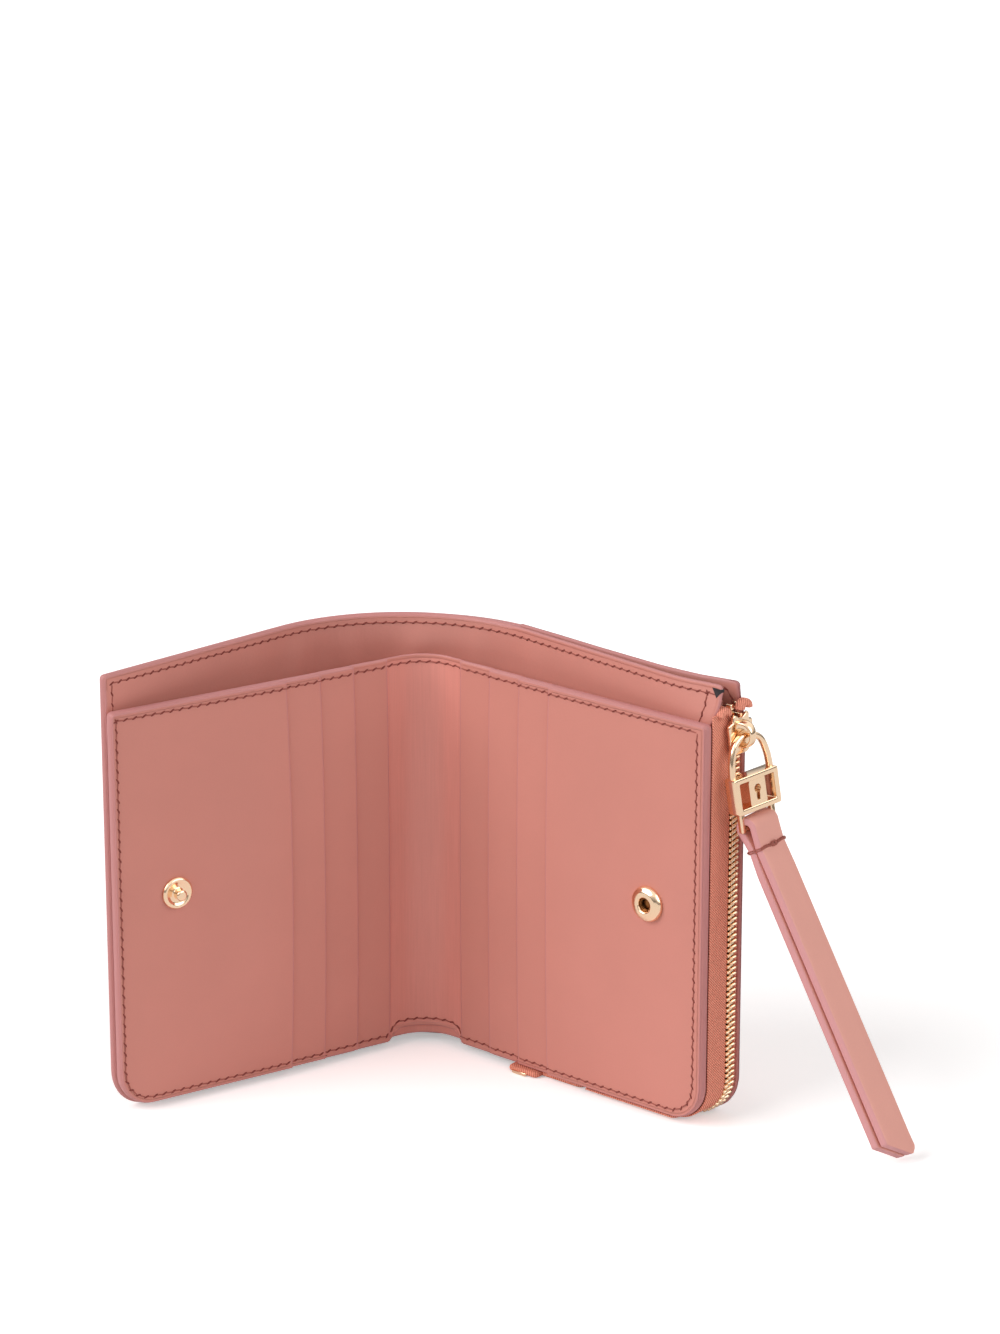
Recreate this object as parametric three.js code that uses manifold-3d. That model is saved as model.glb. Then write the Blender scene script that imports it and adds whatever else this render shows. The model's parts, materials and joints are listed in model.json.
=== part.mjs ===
// Compact bifold wristlet wallet, standing open like a book.
// Millimetres, +Z up. The wallet opens towards -Y and stands on the lower edge of its cover.
// Right half: card pockets in front, a bill compartment, and a zipped coin pocket behind.
// Left half: card pockets in front and the other part of the bill compartment.
import * as THREE from "three";
import { mergeVertices } from "three/addons/utils/BufferGeometryUtils.js";
import Module from "manifold-3d";

const wasm = await Module();
wasm.setup();

const RADIAN = Math.PI / 180;

// Overall sizes
const COVER_HEIGHT = 103; // upright height of the cover
const HALF_WIDTH = 79.2; // fold axis to the outer edge of the card pockets
const FRONT_DROP = 8; // the front wall and its card pockets stop this far below the cover's top
const STACK_BOTTOM = 1.6; // lower edge of the card pockets above the cover's lower edge
const CORNER_RADIUS = 10; // lower outer corners of the cover

// How far each wall is turned from straight ahead (degrees from -Y)
const FRONT_ANGLE = { left: 57, right: 49.5 };
const BACK_ANGLE = { left: 45.5, right: 43 };

// Leather and cloth thicknesses
const COVER_SKIN = 1.3;
const LINING = 0.5;
const INNER_WALL = 0.9;
const FRONT_WALL = 0.55;
const CARD_LAYER = 0.45;
const POCKET_CLOTH = 0.25;

// Clearances
const LAYER_GAP = 0.1; // between stitched layers
const SEAT_GAP = 0.15; // between walls that are sewn together
const END_GAP = 0.2; // where one panel ends against the next
const EDGE_INSET = 0.4; // linings stop this far inside the cover's edge

// Card pockets
const CARD_LAYERS = 4;
const FIRST_CARD_EDGE = 7.6; // fold to the opening of the deepest card pocket
const CARD_STEP = 9.1;

// Fold
const CLOSED_GAP = 3.8; // between the two halves' faces when the snap is shut
const SPINE_RADIUS = 40; // inside of the cover's spine
const LINING_SPINE_RADIUS = 37.6; // back of the bill compartment
const FRONT_SPINE_RADIUS = 9; // back of the front wall
const FRONT_SPINE_BOTTOM = 3.4; // the front wall's lower edge rises at the fold

// Coin pocket
const POCKET_DEPTH = 8.6; // between its walls at the outer edge
const SPINE_HALF = 15.2; // fold axis to the pocket's hinge, along the wall
const POCKET_ROOT = 1.2; // between its walls at the hinge
const GUSSET_RISE = 0.8; // above the end of the zip tape
const GUSSET_THICKNESS = 0.8;
const GUSSET_SETBACK = 4;
const GUSSET_GAP = 0.3;
const CLOTH_MARGIN = { edge: 9.8, hinge: 3, bottom: 11, top: 3.6 };

// Zip: the chain lies parallel to the coin pocket's outer wall
const CHAIN_CENTRE = 2.4; // from the outer wall's inner face to the middle of the chain
const CHAIN_INSET = 1; // from the walls' outline to the tape's middle
const TAPE_THICKNESS = 0.5;
const TAPE_FLANGE = 8;
const FLANGE_THICKNESS = 0.35;
const TAPE_DROP = 6.4; // from the cover's top to the end of the tape
const TAPE_UNDER_STACK = 2; // how far the bottom run of tape reaches under the card pockets
const CHAIN_ROOM = 4.6; // between the pocket's walls where the bottom run of teeth ends
const TOOTH_PITCH = 1.3;
const TOOTH_WIDTH = 0.45;
const TOOTH_REACH = 0.5; // past the middle of the chain
const TOOTH_HEIGHT = 1.9;
const TOOTH_DROP = 4; // from the end of the tape to the first tooth
const TOOTH_BAR = { near: 0.8, far: 1.4 }; // clamped feet of a row, from the chain's middle
const TAPE_EDGE = 1.55; // from the chain's middle to the tape

// Slider and pull
const SLIDER_DROP = 0.4; // from the end of the tape to the slider's top
const SLIDER_LENGTH = 9.4;
const SLIDER_WIDTH = 8.2;
const SLIDER_PLATE = 0.9;
const SLIDER_CLEARANCE = 0.2;
const SLIDER_TAPER = { bottom: 0.7, top: 0.8, widest: 0.6 }; // shares of the slider's width and length
const SLIDER_INSIDE = { inner: 3.2, outer: 1.6 }; // inner plate's reach each side of the chain's middle
const SLIDER_NECK = { thickness: 0.8, bottom: 2.4, top: 0.4 }; // heights below the slider's top
const SLIDER_LIP = { near: 1.75, far: 2.3 }; // from the chain's middle
const BITE = 0.1; // how far one part of a solid runs into the next
const BRIDGE_OPENING = { length: 4, height: 2.6 };
const BRIDGE_WALL = 0.8;
const BRIDGE_WIDTH = 2;
const HANG_ANGLE = 8; // padlock from vertical, outwards

const SHACKLE_WIRE = 1.5;
const SHACKLE_HEIGHT = 9.2;
const SHACKLE_EGG = { foot: 0.95, widest: 1.04, widestDrop: 0.66, shoulder: 0.72, shoulderDrop: 0.2 };
const PADLOCK_WIDTH = 12.7;
const PADLOCK_HEIGHT = 8.3;
const PADLOCK_THICKNESS = 3.5;
const PADLOCK_FRAME = 1.3;
const KEY_PANEL_WIDTH = 3.6;
const KEYHOLE = { radius: 0.75, slot: 0.34, above: 0.5, below: 1.4 }; // slot's half width and reach
const STRAP_BAR_RADIUS = 0.6;
const STRAP_BAR_CLEARANCE = 0.3;

const STRAP_WIDTH = 7.2;
const STRAP_LENGTH = 79.8; // from the bar to the tip
const STRAP_LAYER = 1.9;
const STRAP_TIP = 6; // length of the pointed end
const STRAP_TIP_FLAT = 2.6;
const STRAP_FLOOR_GAP = 0.05;
const TACK_BELOW_BAR = 4.6;
const TACK_HEIGHT = 0.9;

// Snap fastener
const SNAP_DISTANCE = 64; // from the fold axis
const SNAP_HEIGHT = 50.4;
const SNAP_SEGMENTS = 20;
const SNAP_HOLE = 1.25;

// Colours
const LEATHER = { color: 0xcb8276, roughness: 0.55, metalness: 0 };
const LEATHER_DARK = { color: 0xb76e63, roughness: 0.6, metalness: 0 };
const STRAP_LEATHER = { color: 0xd8958a, roughness: 0.55, metalness: 0 };
const TAPE_CLOTH = { color: 0xb8664c, roughness: 0.9, metalness: 0 };
const CLOTH = { color: 0x3a3436, roughness: 0.9, metalness: 0 };
const THREAD = { color: 0x7c3630, roughness: 0.8, metalness: 0 };
const GOLD = { color: 0xe6bf6b, roughness: 0.2, metalness: 1 };

// ---- solids ----

function solidOf(geometry) {
  const bare = geometry.index ? geometry.toNonIndexed() : geometry.clone();
  bare.deleteAttribute("normal");
  bare.deleteAttribute("uv");
  const merged = mergeVertices(bare, 1e-4);
  return new wasm.Manifold(
    new wasm.Mesh({
      numProp: 3,
      vertProperties: new Float32Array(merged.attributes.position.array),
      triVerts: new Uint32Array(merged.index.array),
    }),
  );
}

function geometryOf(solid) {
  const mesh = solid.getMesh();
  const geometry = new THREE.BufferGeometry();
  geometry.setAttribute("position", new THREE.BufferAttribute(new Float32Array(mesh.vertProperties), 3));
  geometry.setIndex(new THREE.BufferAttribute(new Uint32Array(mesh.triVerts), 1));
  geometry.computeVertexNormals();
  return geometry;
}

function join(...geometries) {
  const whole = geometries.map(solidOf).reduce((sum, solid) => sum.add(solid));
  return geometryOf(whole);
}

function cut(geometry, ...tools) {
  const rest = tools.map(solidOf).reduce((left, tool) => left.subtract(tool), solidOf(geometry));
  return geometryOf(rest);
}

function common(first, second) {
  return geometryOf(solidOf(first).intersect(solidOf(second)));
}

function named(name, geometry, look) {
  const mesh = new THREE.Mesh(geometry, new THREE.MeshStandardMaterial(look));
  mesh.name = name;
  return mesh;
}

function box(x0, x1, y0, y1, z0, z1) {
  const geometry = new THREE.BoxGeometry(x1 - x0, y1 - y0, z1 - z0);
  return geometry.translate((x0 + x1) / 2, (y0 + y1) / 2, (z0 + z1) / 2);
}

// An outline drawn in x and z, given its thickness along y from front to back.
function slab(outline, front, back) {
  const geometry = new THREE.ExtrudeGeometry(outline, {
    depth: back - front,
    bevelEnabled: false,
    curveSegments: 8,
  });
  return geometry.rotateX(Math.PI / 2).translate(0, back, 0);
}

// ---- plan frames ----
// A frame stands on one half: s runs outwards along the wall and b runs behind it.

function planFrame(side, angle, origin) {
  const turn = angle * RADIAN;
  const along = new THREE.Vector2(side * Math.sin(turn), -Math.cos(turn));
  const behind = new THREE.Vector2(side * Math.cos(turn), Math.sin(turn));
  const group = new THREE.Group();
  group.position.set(origin.x, origin.y, 0);
  group.rotation.z = side * (turn - Math.PI / 2);
  const point = (s, b) => origin.clone().addScaledVector(along, s).addScaledVector(behind, b);
  return { side, along, behind, group, point };
}

// A wall's outline in its frame: lower outer corner rounded, the other corners square.
function wallOutline(side, inner, outer, bottom, top, corner) {
  const outline = new THREE.Shape();
  outline.moveTo(side * inner, bottom);
  outline.lineTo(side * (outer - corner), bottom);
  const end = side > 0 ? 0 : -Math.PI;
  outline.absarc(side * (outer - corner), bottom + corner, corner, -Math.PI / 2, end, side < 0);
  outline.lineTo(side * outer, top);
  outline.lineTo(side * inner, top);
  outline.closePath();
  return outline;
}

function roundHole(x, z, radius) {
  const hole = new THREE.Path();
  hole.absarc(x, z, radius, 0, 2 * Math.PI, false);
  return hole;
}

// Two wall faces run towards the fold and are joined there by an arc of the given radius.
function foldArc(left, leftFace, right, rightFace, radius) {
  const start = left.point(0, leftFace);
  const gap = right.point(0, rightFace).sub(start);
  const across = left.along.x * right.along.y - left.along.y * right.along.x;
  const reach = (gap.x * right.along.y - gap.y * right.along.x) / across;
  const apex = start.clone().addScaledVector(left.along, reach);
  const half = Math.acos(left.along.dot(right.along)) / 2;
  const tangent = radius / Math.tan(half);
  const middle = left.along.clone().add(right.along).normalize();
  const centre = apex.clone().addScaledVector(middle, radius / Math.sin(half));
  const leftEnd = apex.clone().addScaledVector(left.along, tangent);
  const rightEnd = apex.clone().addScaledVector(right.along, tangent);
  const inFrame = (frame, end) => end.clone().sub(frame.point(0, 0)).dot(frame.along);
  return {
    centre,
    radius,
    rightEnd,
    from: Math.atan2(leftEnd.y - centre.y, leftEnd.x - centre.x),
    to: Math.atan2(rightEnd.y - centre.y, rightEnd.x - centre.x),
    leftInner: inFrame(left, leftEnd),
    rightInner: inFrame(right, rightEnd),
  };
}

// A curved strip that follows a fold arc, from one offset behind the arc to another.
function foldStrip(arc, near, far, bottom, top) {
  const { centre, radius, from, to } = arc;
  const trim = END_GAP / radius;
  const strip = new THREE.Shape();
  strip.absarc(centre.x, centre.y, radius + far, from - trim, to + trim, true);
  strip.absarc(centre.x, centre.y, radius + near, to + trim, from - trim, false);
  strip.closePath();
  const shape = new THREE.ExtrudeGeometry(strip, {
    depth: top - bottom,
    bevelEnabled: false,
    curveSegments: 14,
  });
  return shape.translate(0, 0, bottom);
}

// ---- levels and frames of the walls ----

const FRONT_TOP = COVER_HEIGHT - FRONT_DROP;
const TAPE_TOP = COVER_HEIGHT - TAPE_DROP;
const TOOTH_TOP = TAPE_TOP - TOOTH_DROP;
const SLIDER_BOTTOM = TAPE_TOP - SLIDER_DROP - SLIDER_LENGTH;
const POCKET_LENGTH = HALF_WIDTH - SPINE_HALF;

const FACE = CLOSED_GAP / 2; // the outermost card pocket's face, behind the fold axis
const LAYER_PITCH = CARD_LAYER + LAYER_GAP;
const FRONT_WALL_FACE = FACE + CARD_LAYERS * LAYER_PITCH;
const FRONT_WALL_BACK = FRONT_WALL_FACE + FRONT_WALL;

const axis = new THREE.Vector2(0, 0);
const leftFront = planFrame(-1, FRONT_ANGLE.left, axis);
const rightFront = planFrame(1, FRONT_ANGLE.right, axis);
const leftBack = planFrame(-1, BACK_ANGLE.left, leftFront.point(HALF_WIDTH, FRONT_WALL_BACK));
const rightBack = planFrame(1, BACK_ANGLE.right, rightFront.point(HALF_WIDTH, FRONT_WALL_BACK));

// Faces behind each back frame
const leftCoverFace = SEAT_GAP + LINING + LAYER_GAP;
const innerWallBack = SEAT_GAP + INNER_WALL;

// The coin pocket is a wedge: its outer wall turns away from the inner wall about the hinge.
const wedge = Math.atan2(POCKET_DEPTH - POCKET_ROOT, POCKET_LENGTH) / RADIAN;
const pocketEdge = rightBack.point(0, innerWallBack + POCKET_DEPTH);
const outerWall = planFrame(1, BACK_ANGLE.right + wedge, pocketEdge);
const CHAIN_END = (POCKET_DEPTH - CHAIN_ROOM) / Math.tan(wedge * RADIAN); // last tooth, from the outer edge

const coverArc = foldArc(leftBack, leftCoverFace, outerWall, 0, SPINE_RADIUS);
const liningArc = foldArc(leftBack, SEAT_GAP, rightBack, SEAT_GAP, LINING_SPINE_RADIUS);
const frontArc = foldArc(leftFront, FRONT_WALL_FACE, rightFront, FRONT_WALL_FACE, FRONT_SPINE_RADIUS);

const stackCorner = CORNER_RADIUS - STACK_BOTTOM;

// ---- card pockets and front wall ----

function cardPocket(side, layer) {
  const inner = FIRST_CARD_EDGE + (CARD_LAYERS - layer) * CARD_STEP;
  const outline = wallOutline(side, inner, HALF_WIDTH, STACK_BOTTOM, FRONT_TOP, stackCorner);
  if (layer === 1) {
    outline.holes.push(roundHole(side * SNAP_DISTANCE, SNAP_HEIGHT, SNAP_HOLE));
  }
  const face = FACE + (layer - 1) * LAYER_PITCH;
  return slab(outline, face, face + CARD_LAYER);
}

function frontWall(side, arcInner) {
  const inner = arcInner + END_GAP;
  const outline = wallOutline(side, inner, HALF_WIDTH, STACK_BOTTOM, FRONT_TOP, stackCorner);
  return slab(outline, FRONT_WALL_FACE, FRONT_WALL_BACK);
}

for (const [frame, word] of [[leftFront, "left"], [rightFront, "right"]]) {
  for (let layer = 1; layer <= CARD_LAYERS; layer += 1) {
    frame.group.add(named(`${word}_card_pocket_${layer}`, cardPocket(frame.side, layer), LEATHER));
  }
}
leftFront.group.add(named("left_front_wall", frontWall(-1, frontArc.leftInner), LEATHER));
rightFront.group.add(named("right_front_wall", frontWall(1, frontArc.rightInner), LEATHER));

// ---- snap fastener ----

// A turned piece whose axis points out of the card pocket's face.
function turned(side, profile) {
  const points = profile.map(([radius, height]) => new THREE.Vector2(radius, height));
  const shape = new THREE.LatheGeometry(points, SNAP_SEGMENTS);
  return shape.rotateX(Math.PI).translate(side * SNAP_DISTANCE, FACE, SNAP_HEIGHT);
}

const STUD_PROFILE = [
  [0, -0.4],
  [1.1, -0.4],
  [1.1, 0.1],
  [3.7, 0.1],
  [3.7, 0.5],
  [3.3, 0.95],
  [2.3, 0.7],
  [1.3, 0.8],
  [1.3, 2.1],
  [1.5, 2.45],
  [1.1, 2.8],
  [0, 2.8],
];
const SOCKET_PROFILE = [
  [0, -0.4],
  [1.1, -0.4],
  [1.1, 0.1],
  [4.2, 0.1],
  [4.2, 0.8],
  [3.7, 1.7],
  [3, 2.35],
  [2.4, 2.45],
  [1.95, 2.2],
  [1.95, 0.6],
  [0, 0.6],
];
const SPRING = { ring: 1.78, wire: 0.12, height: 1.5 };

const spring = new THREE.TorusGeometry(SPRING.ring, SPRING.wire, 6, SNAP_SEGMENTS);
spring.rotateX(Math.PI / 2).translate(SNAP_DISTANCE, FACE - SPRING.height, SNAP_HEIGHT);
leftFront.group.add(named("snap_stud", turned(-1, STUD_PROFILE), GOLD));
rightFront.group.add(named("snap_socket", turned(1, SOCKET_PROFILE), GOLD));
rightFront.group.add(named("snap_socket_spring", spring, GOLD));

// ---- bill compartment's back wall and the cover ----

const liningTop = COVER_HEIGHT - EDGE_INSET;
const liningCorner = CORNER_RADIUS - EDGE_INSET;

const leftLining = slab(
  wallOutline(-1, liningArc.leftInner + END_GAP, -EDGE_INSET, EDGE_INSET, liningTop, liningCorner),
  SEAT_GAP,
  SEAT_GAP + LINING,
);
const leftCover = slab(
  wallOutline(-1, coverArc.leftInner + END_GAP, 0, 0, COVER_HEIGHT, CORNER_RADIUS),
  leftCoverFace,
  leftCoverFace + COVER_SKIN,
);
leftBack.group.add(named("left_lining", leftLining, LEATHER));
leftBack.group.add(named("left_cover", leftCover, LEATHER_DARK));

const innerWallPanel = slab(
  wallOutline(1, liningArc.rightInner + END_GAP, 0, STACK_BOTTOM, liningTop, stackCorner),
  SEAT_GAP,
  innerWallBack,
);
rightBack.group.add(named("coin_pocket_inner_wall", innerWallPanel, LEATHER));

const outerWallPanel = slab(
  wallOutline(1, coverArc.rightInner + END_GAP, 0, 0, COVER_HEIGHT, CORNER_RADIUS),
  0,
  COVER_SKIN,
);
outerWall.group.add(named("coin_pocket_outer_wall", outerWallPanel, LEATHER_DARK));

const spine = new THREE.Group();
spine.add(named("spine_cover", foldStrip(coverArc, 0, COVER_SKIN, 0, COVER_HEIGHT), LEATHER_DARK));
spine.add(named("spine_lining", foldStrip(liningArc, 0, LINING, EDGE_INSET, liningTop), LEATHER));
const frontSpine = foldStrip(frontArc, 0, FRONT_WALL, FRONT_SPINE_BOTTOM, FRONT_TOP);
spine.add(named("front_wall_spine", frontSpine, LEATHER));

// ---- coin pocket ----

const pocketGap = (s) => POCKET_DEPTH + s * Math.tan(wedge * RADIAN);

// A cloth panel inside one wall of the coin pocket
function clothPanel(inner, front, back) {
  const { edge, hinge, bottom, top } = CLOTH_MARGIN;
  return slab(wallOutline(1, inner + hinge, -edge, bottom, TAPE_TOP - top, TAPE_FLANGE / 4), front, back);
}

const innerCloth = clothPanel(
  coverArc.rightInner,
  innerWallBack + LAYER_GAP,
  innerWallBack + LAYER_GAP + POCKET_CLOTH,
);
const outerCloth = clothPanel(coverArc.rightInner, -LAYER_GAP - POCKET_CLOTH, -LAYER_GAP);
rightBack.group.add(named("coin_pocket_inner_cloth", innerCloth, CLOTH));
outerWall.group.add(named("coin_pocket_outer_cloth", outerCloth, CLOTH));

function topGusset() {
  const inner = coverArc.rightInner + CLOTH_MARGIN.hinge;
  const near = innerWallBack + GUSSET_GAP;
  const far = (s) => innerWallBack + pocketGap(s) - GUSSET_GAP;
  const plan = new THREE.Shape();
  plan.moveTo(inner, near);
  plan.lineTo(-GUSSET_SETBACK, near);
  plan.lineTo(-GUSSET_SETBACK, far(-GUSSET_SETBACK));
  plan.lineTo(inner, far(inner));
  plan.closePath();
  const sheet = new THREE.ExtrudeGeometry(plan, { depth: GUSSET_THICKNESS, bevelEnabled: false });
  return sheet.translate(0, 0, TAPE_TOP + GUSSET_RISE);
}
rightBack.group.add(named("coin_pocket_top_gusset", topGusset(), LEATHER));

// ---- zip ----
// In the outer wall's frame: x outwards, y across the chain with the wall at y = 0, z up.

// The band between two insets from the walls' outline: down the side, round the corner, along the bottom.
function perimeterBand(near, far, top, end) {
  const band = new THREE.Shape();
  band.moveTo(-near, top);
  band.lineTo(-near, CORNER_RADIUS);
  band.absarc(-CORNER_RADIUS, CORNER_RADIUS, CORNER_RADIUS - near, 0, -Math.PI / 2, true);
  band.lineTo(-end, near);
  band.lineTo(-end, far);
  band.lineTo(-CORNER_RADIUS, far);
  band.absarc(-CORNER_RADIUS, CORNER_RADIUS, CORNER_RADIUS - far, -Math.PI / 2, 0, false);
  band.lineTo(-far, top);
  band.closePath();
  return band;
}

const tapeNear = CHAIN_INSET - TAPE_THICKNESS / 2;
const tapeFar = CHAIN_INSET + TAPE_THICKNESS / 2;
const flangeFar = tapeNear + TAPE_FLANGE;

function outerTape() {
  const edge = -CHAIN_CENTRE + TAPE_EDGE;
  const web = slab(perimeterBand(tapeNear, tapeFar, TAPE_TOP, CHAIN_END), edge, -SEAT_GAP);
  const flangeBand = perimeterBand(tapeNear, flangeFar, TAPE_TOP, CHAIN_END);
  const flange = slab(flangeBand, -SEAT_GAP - FLANGE_THICKNESS, -SEAT_GAP);
  return join(web, flange);
}

// Moves a geometry drawn in one wall's frame into another wall's frame.
function carried(geometry, from, to) {
  from.group.updateMatrixWorld(true);
  to.group.updateMatrixWorld(true);
  const move = to.group.matrixWorld.clone().invert().multiply(from.group.matrixWorld);
  return geometry.applyMatrix4(move);
}

function innerTape() {
  const web = slab(
    perimeterBand(tapeNear, tapeFar, TAPE_TOP, CHAIN_END),
    -POCKET_DEPTH - INNER_WALL - TAPE_UNDER_STACK,
    -CHAIN_CENTRE - TAPE_EDGE,
  );
  const reach = HALF_WIDTH;
  const face = innerWallBack + SEAT_GAP;
  const aboveStack = box(-reach, reach, -reach, face, STACK_BOTTOM - SEAT_GAP, COVER_HEIGHT);
  const underStack = box(-reach, reach, -reach, face - INNER_WALL - TAPE_UNDER_STACK, -reach, COVER_HEIGHT);
  const trimmed = cut(web, carried(aboveStack, rightBack, outerWall), carried(underStack, rightBack, outerWall));
  const flangeBand = perimeterBand(tapeNear, flangeFar, TAPE_TOP, CHAIN_END);
  const flange = carried(slab(flangeBand, face, face + FLANGE_THICKNESS), rightBack, outerWall);
  const clear = box(-reach, reach, -CHAIN_CENTRE - TAPE_EDGE, reach, -reach, COVER_HEIGHT);
  return cut(join(trimmed, flange), clear);
}

// Place and direction at a distance along the chain, from its top end
function chainPlace(distance) {
  const straight = TOOTH_TOP - CORNER_RADIUS;
  const radius = CORNER_RADIUS - CHAIN_INSET;
  const bend = (radius * Math.PI) / 2;
  if (distance <= straight) {
    return { x: -CHAIN_INSET, z: TOOTH_TOP - distance, turn: 0 };
  }
  if (distance <= straight + bend) {
    const turn = (distance - straight) / radius;
    const x = -CORNER_RADIUS + radius * Math.cos(turn);
    return { x, z: CORNER_RADIUS - radius * Math.sin(turn), turn };
  }
  return { x: -CORNER_RADIUS - (distance - straight - bend), z: CHAIN_INSET, turn: Math.PI / 2 };
}

const chainLength =
  TOOTH_TOP - CORNER_RADIUS + ((CORNER_RADIUS - CHAIN_INSET) * Math.PI) / 2 + CHAIN_END - CORNER_RADIUS;
const teeth = Math.floor(chainLength / TOOTH_PITCH);

// One row of teeth on its clamped feet: direction is +1 for the outer wall's row, -1 for the other.
function toothRow(direction, firstTooth) {
  const side = (value) => -CHAIN_CENTRE + direction * value;
  const bar = perimeterBand(
    CHAIN_INSET - TOOTH_HEIGHT / 2,
    CHAIN_INSET + TOOTH_HEIGHT / 2,
    TOOTH_TOP,
    CHAIN_END,
  );
  const feet = [side(TOOTH_BAR.near), side(TOOTH_BAR.far)].sort((a, b) => a - b);
  const [low, high] = [side(-TOOTH_REACH), side(TOOTH_BAR.near + TOOTH_REACH)].sort((a, b) => a - b);
  const pieces = [slab(bar, feet[0], feet[1])];
  for (let index = 0; index < teeth; index += 1) {
    const place = chainPlace(firstTooth + index * TOOTH_PITCH);
    const tooth = new THREE.BoxGeometry(TOOTH_HEIGHT, high - low, TOOTH_WIDTH);
    tooth.rotateY(place.turn).translate(place.x, (low + high) / 2, place.z);
    pieces.push(tooth);
  }
  return join(...pieces);
}

const zip = outerWall.group;
zip.add(named("zip_tape_outer", outerTape(), TAPE_CLOTH));
zip.add(named("zip_tape_inner", innerTape(), TAPE_CLOTH));
zip.add(named("zip_teeth_outer", toothRow(1, TOOTH_PITCH / 4), GOLD));
zip.add(named("zip_teeth_inner", toothRow(-1, (TOOTH_PITCH * 3) / 4), GOLD));

// Stops and folded tape ends
const STOP = { bottom: TAPE_TOP + 0.2, top: TAPE_TOP + 1.6, near: 0.2, far: 1.8, overlap: 0.55 };
const FOLD = { near: 0.3, far: 3.3, outerRadius: 1.3 };

const stopEdge = -CHAIN_CENTRE - TOOTH_BAR.near - LAYER_GAP;
const stopFar = -CHAIN_CENTRE - TAPE_EDGE - STOP.overlap;
const outerStopEdge = -CHAIN_CENTRE + TOOTH_BAR.near;
const outerStopFar = -SEAT_GAP - FLANGE_THICKNESS + LAYER_GAP;

function topStop(edge, far) {
  return box(-STOP.far, -STOP.near, Math.min(edge, far), Math.max(edge, far), STOP.bottom, STOP.top);
}
zip.add(named("zip_top_stop_inner", topStop(stopEdge, stopFar), GOLD));
zip.add(named("zip_top_stop_outer", topStop(outerStopEdge, outerStopFar), GOLD));

// A tape end folded over like a small arch across the chain
function tapeFold(centre, outside, bottom) {
  const inside = outside - TAPE_THICKNESS;
  const arch = new THREE.Shape();
  arch.absarc(0, 0, outside, 0, Math.PI, false);
  arch.absarc(0, 0, inside, Math.PI, 0, true);
  arch.closePath();
  const depth = FOLD.far - FOLD.near;
  const fold = new THREE.ExtrudeGeometry(arch, { depth, bevelEnabled: false, curveSegments: 10 });
  fold.rotateX(Math.PI / 2).rotateZ(Math.PI / 2);
  return fold.translate(-FOLD.far, centre, bottom);
}

const foldNear = -stopFar + SEAT_GAP;
const foldFar = POCKET_DEPTH - FOLD.far * Math.tan(wedge * RADIAN) - SEAT_GAP;
const innerFold = tapeFold(-(foldNear + foldFar) / 2, (foldFar - foldNear) / 2, STOP.bottom);
const outerFold = tapeFold(-SEAT_GAP * 2 - FOLD.outerRadius, FOLD.outerRadius, STOP.top + END_GAP);
zip.add(named("zip_tape_fold_inner", innerFold, TAPE_CLOTH));
zip.add(named("zip_tape_fold_outer", outerFold, TAPE_CLOTH));

// Bottom stop past the last tooth, and the folded tab that ends the tape under the card pockets
const BOTTOM_STOP = { gap: 0.3, length: 2, bottom: 0.05, top: 2, overlap: 0.2 };
const END_TAB = { gap: 0.3, length: 14, bottom: 0.3, reach: 9.6, outerGap: 0.5 };

const stopNear = CHAIN_END + BOTTOM_STOP.gap;
const stopEnd = stopNear + BOTTOM_STOP.length;
const bottomStop = box(
  -stopEnd,
  -stopNear,
  -CHAIN_CENTRE - TOOTH_BAR.far - BOTTOM_STOP.overlap,
  -CHAIN_CENTRE + TOOTH_BAR.far,
  BOTTOM_STOP.bottom,
  BOTTOM_STOP.top,
);
const endTab = box(
  -stopEnd - END_TAB.gap - END_TAB.length,
  -stopEnd - END_TAB.gap,
  -CHAIN_CENTRE - END_TAB.reach,
  -END_TAB.outerGap,
  END_TAB.bottom,
  STACK_BOTTOM - SEAT_GAP,
);
zip.add(named("zip_bottom_stop", bottomStop, GOLD));
zip.add(named("zip_end_tab", endTab, TAPE_CLOTH));

// ---- slider ----

function sliderBody() {
  const middle = -CHAIN_CENTRE;
  const top = SLIDER_BOTTOM + SLIDER_LENGTH;
  const chainIn = CHAIN_INSET + TOOTH_HEIGHT / 2 + SLIDER_CLEARANCE;
  const outside = SLIDER_CLEARANCE;
  const half = SLIDER_WIDTH / 2;
  const plan = new THREE.Shape();
  plan.moveTo(-half * SLIDER_TAPER.bottom, SLIDER_BOTTOM);
  plan.lineTo(half * SLIDER_TAPER.bottom, SLIDER_BOTTOM);
  plan.lineTo(half, SLIDER_BOTTOM + SLIDER_LENGTH * SLIDER_TAPER.widest);
  plan.lineTo(half * SLIDER_TAPER.top, top);
  plan.lineTo(-half * SLIDER_TAPER.top, top);
  plan.lineTo(-half, SLIDER_BOTTOM + SLIDER_LENGTH * SLIDER_TAPER.widest);
  plan.closePath();
  const plate = slab(plan, 0, SLIDER_PLATE).rotateZ(-Math.PI / 2).translate(outside, middle, 0);
  const { inner, outer } = SLIDER_INSIDE;
  const inside = box(-chainIn - SLIDER_PLATE, -chainIn, middle - inner, middle + outer, SLIDER_BOTTOM, top);
  // The neck stands clear of the inner row, which stays in line as the slider passes.
  const neckSide = middle + TOOTH_REACH + LAYER_GAP;
  const neck = box(
    -chainIn - BITE,
    outside + BITE,
    neckSide,
    neckSide + SLIDER_NECK.thickness,
    top - SLIDER_NECK.bottom,
    top - SLIDER_NECK.top,
  );
  const lipIn = -CHAIN_INSET + TAPE_THICKNESS / 2 + SLIDER_CLEARANCE;
  const lip = box(lipIn, outside + BITE, middle - SLIDER_LIP.far, middle - SLIDER_LIP.near, SLIDER_BOTTOM, top);
  return join(plate, inside, neck, lip, sliderBridge(outside + SLIDER_PLATE, middle));
}

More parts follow.
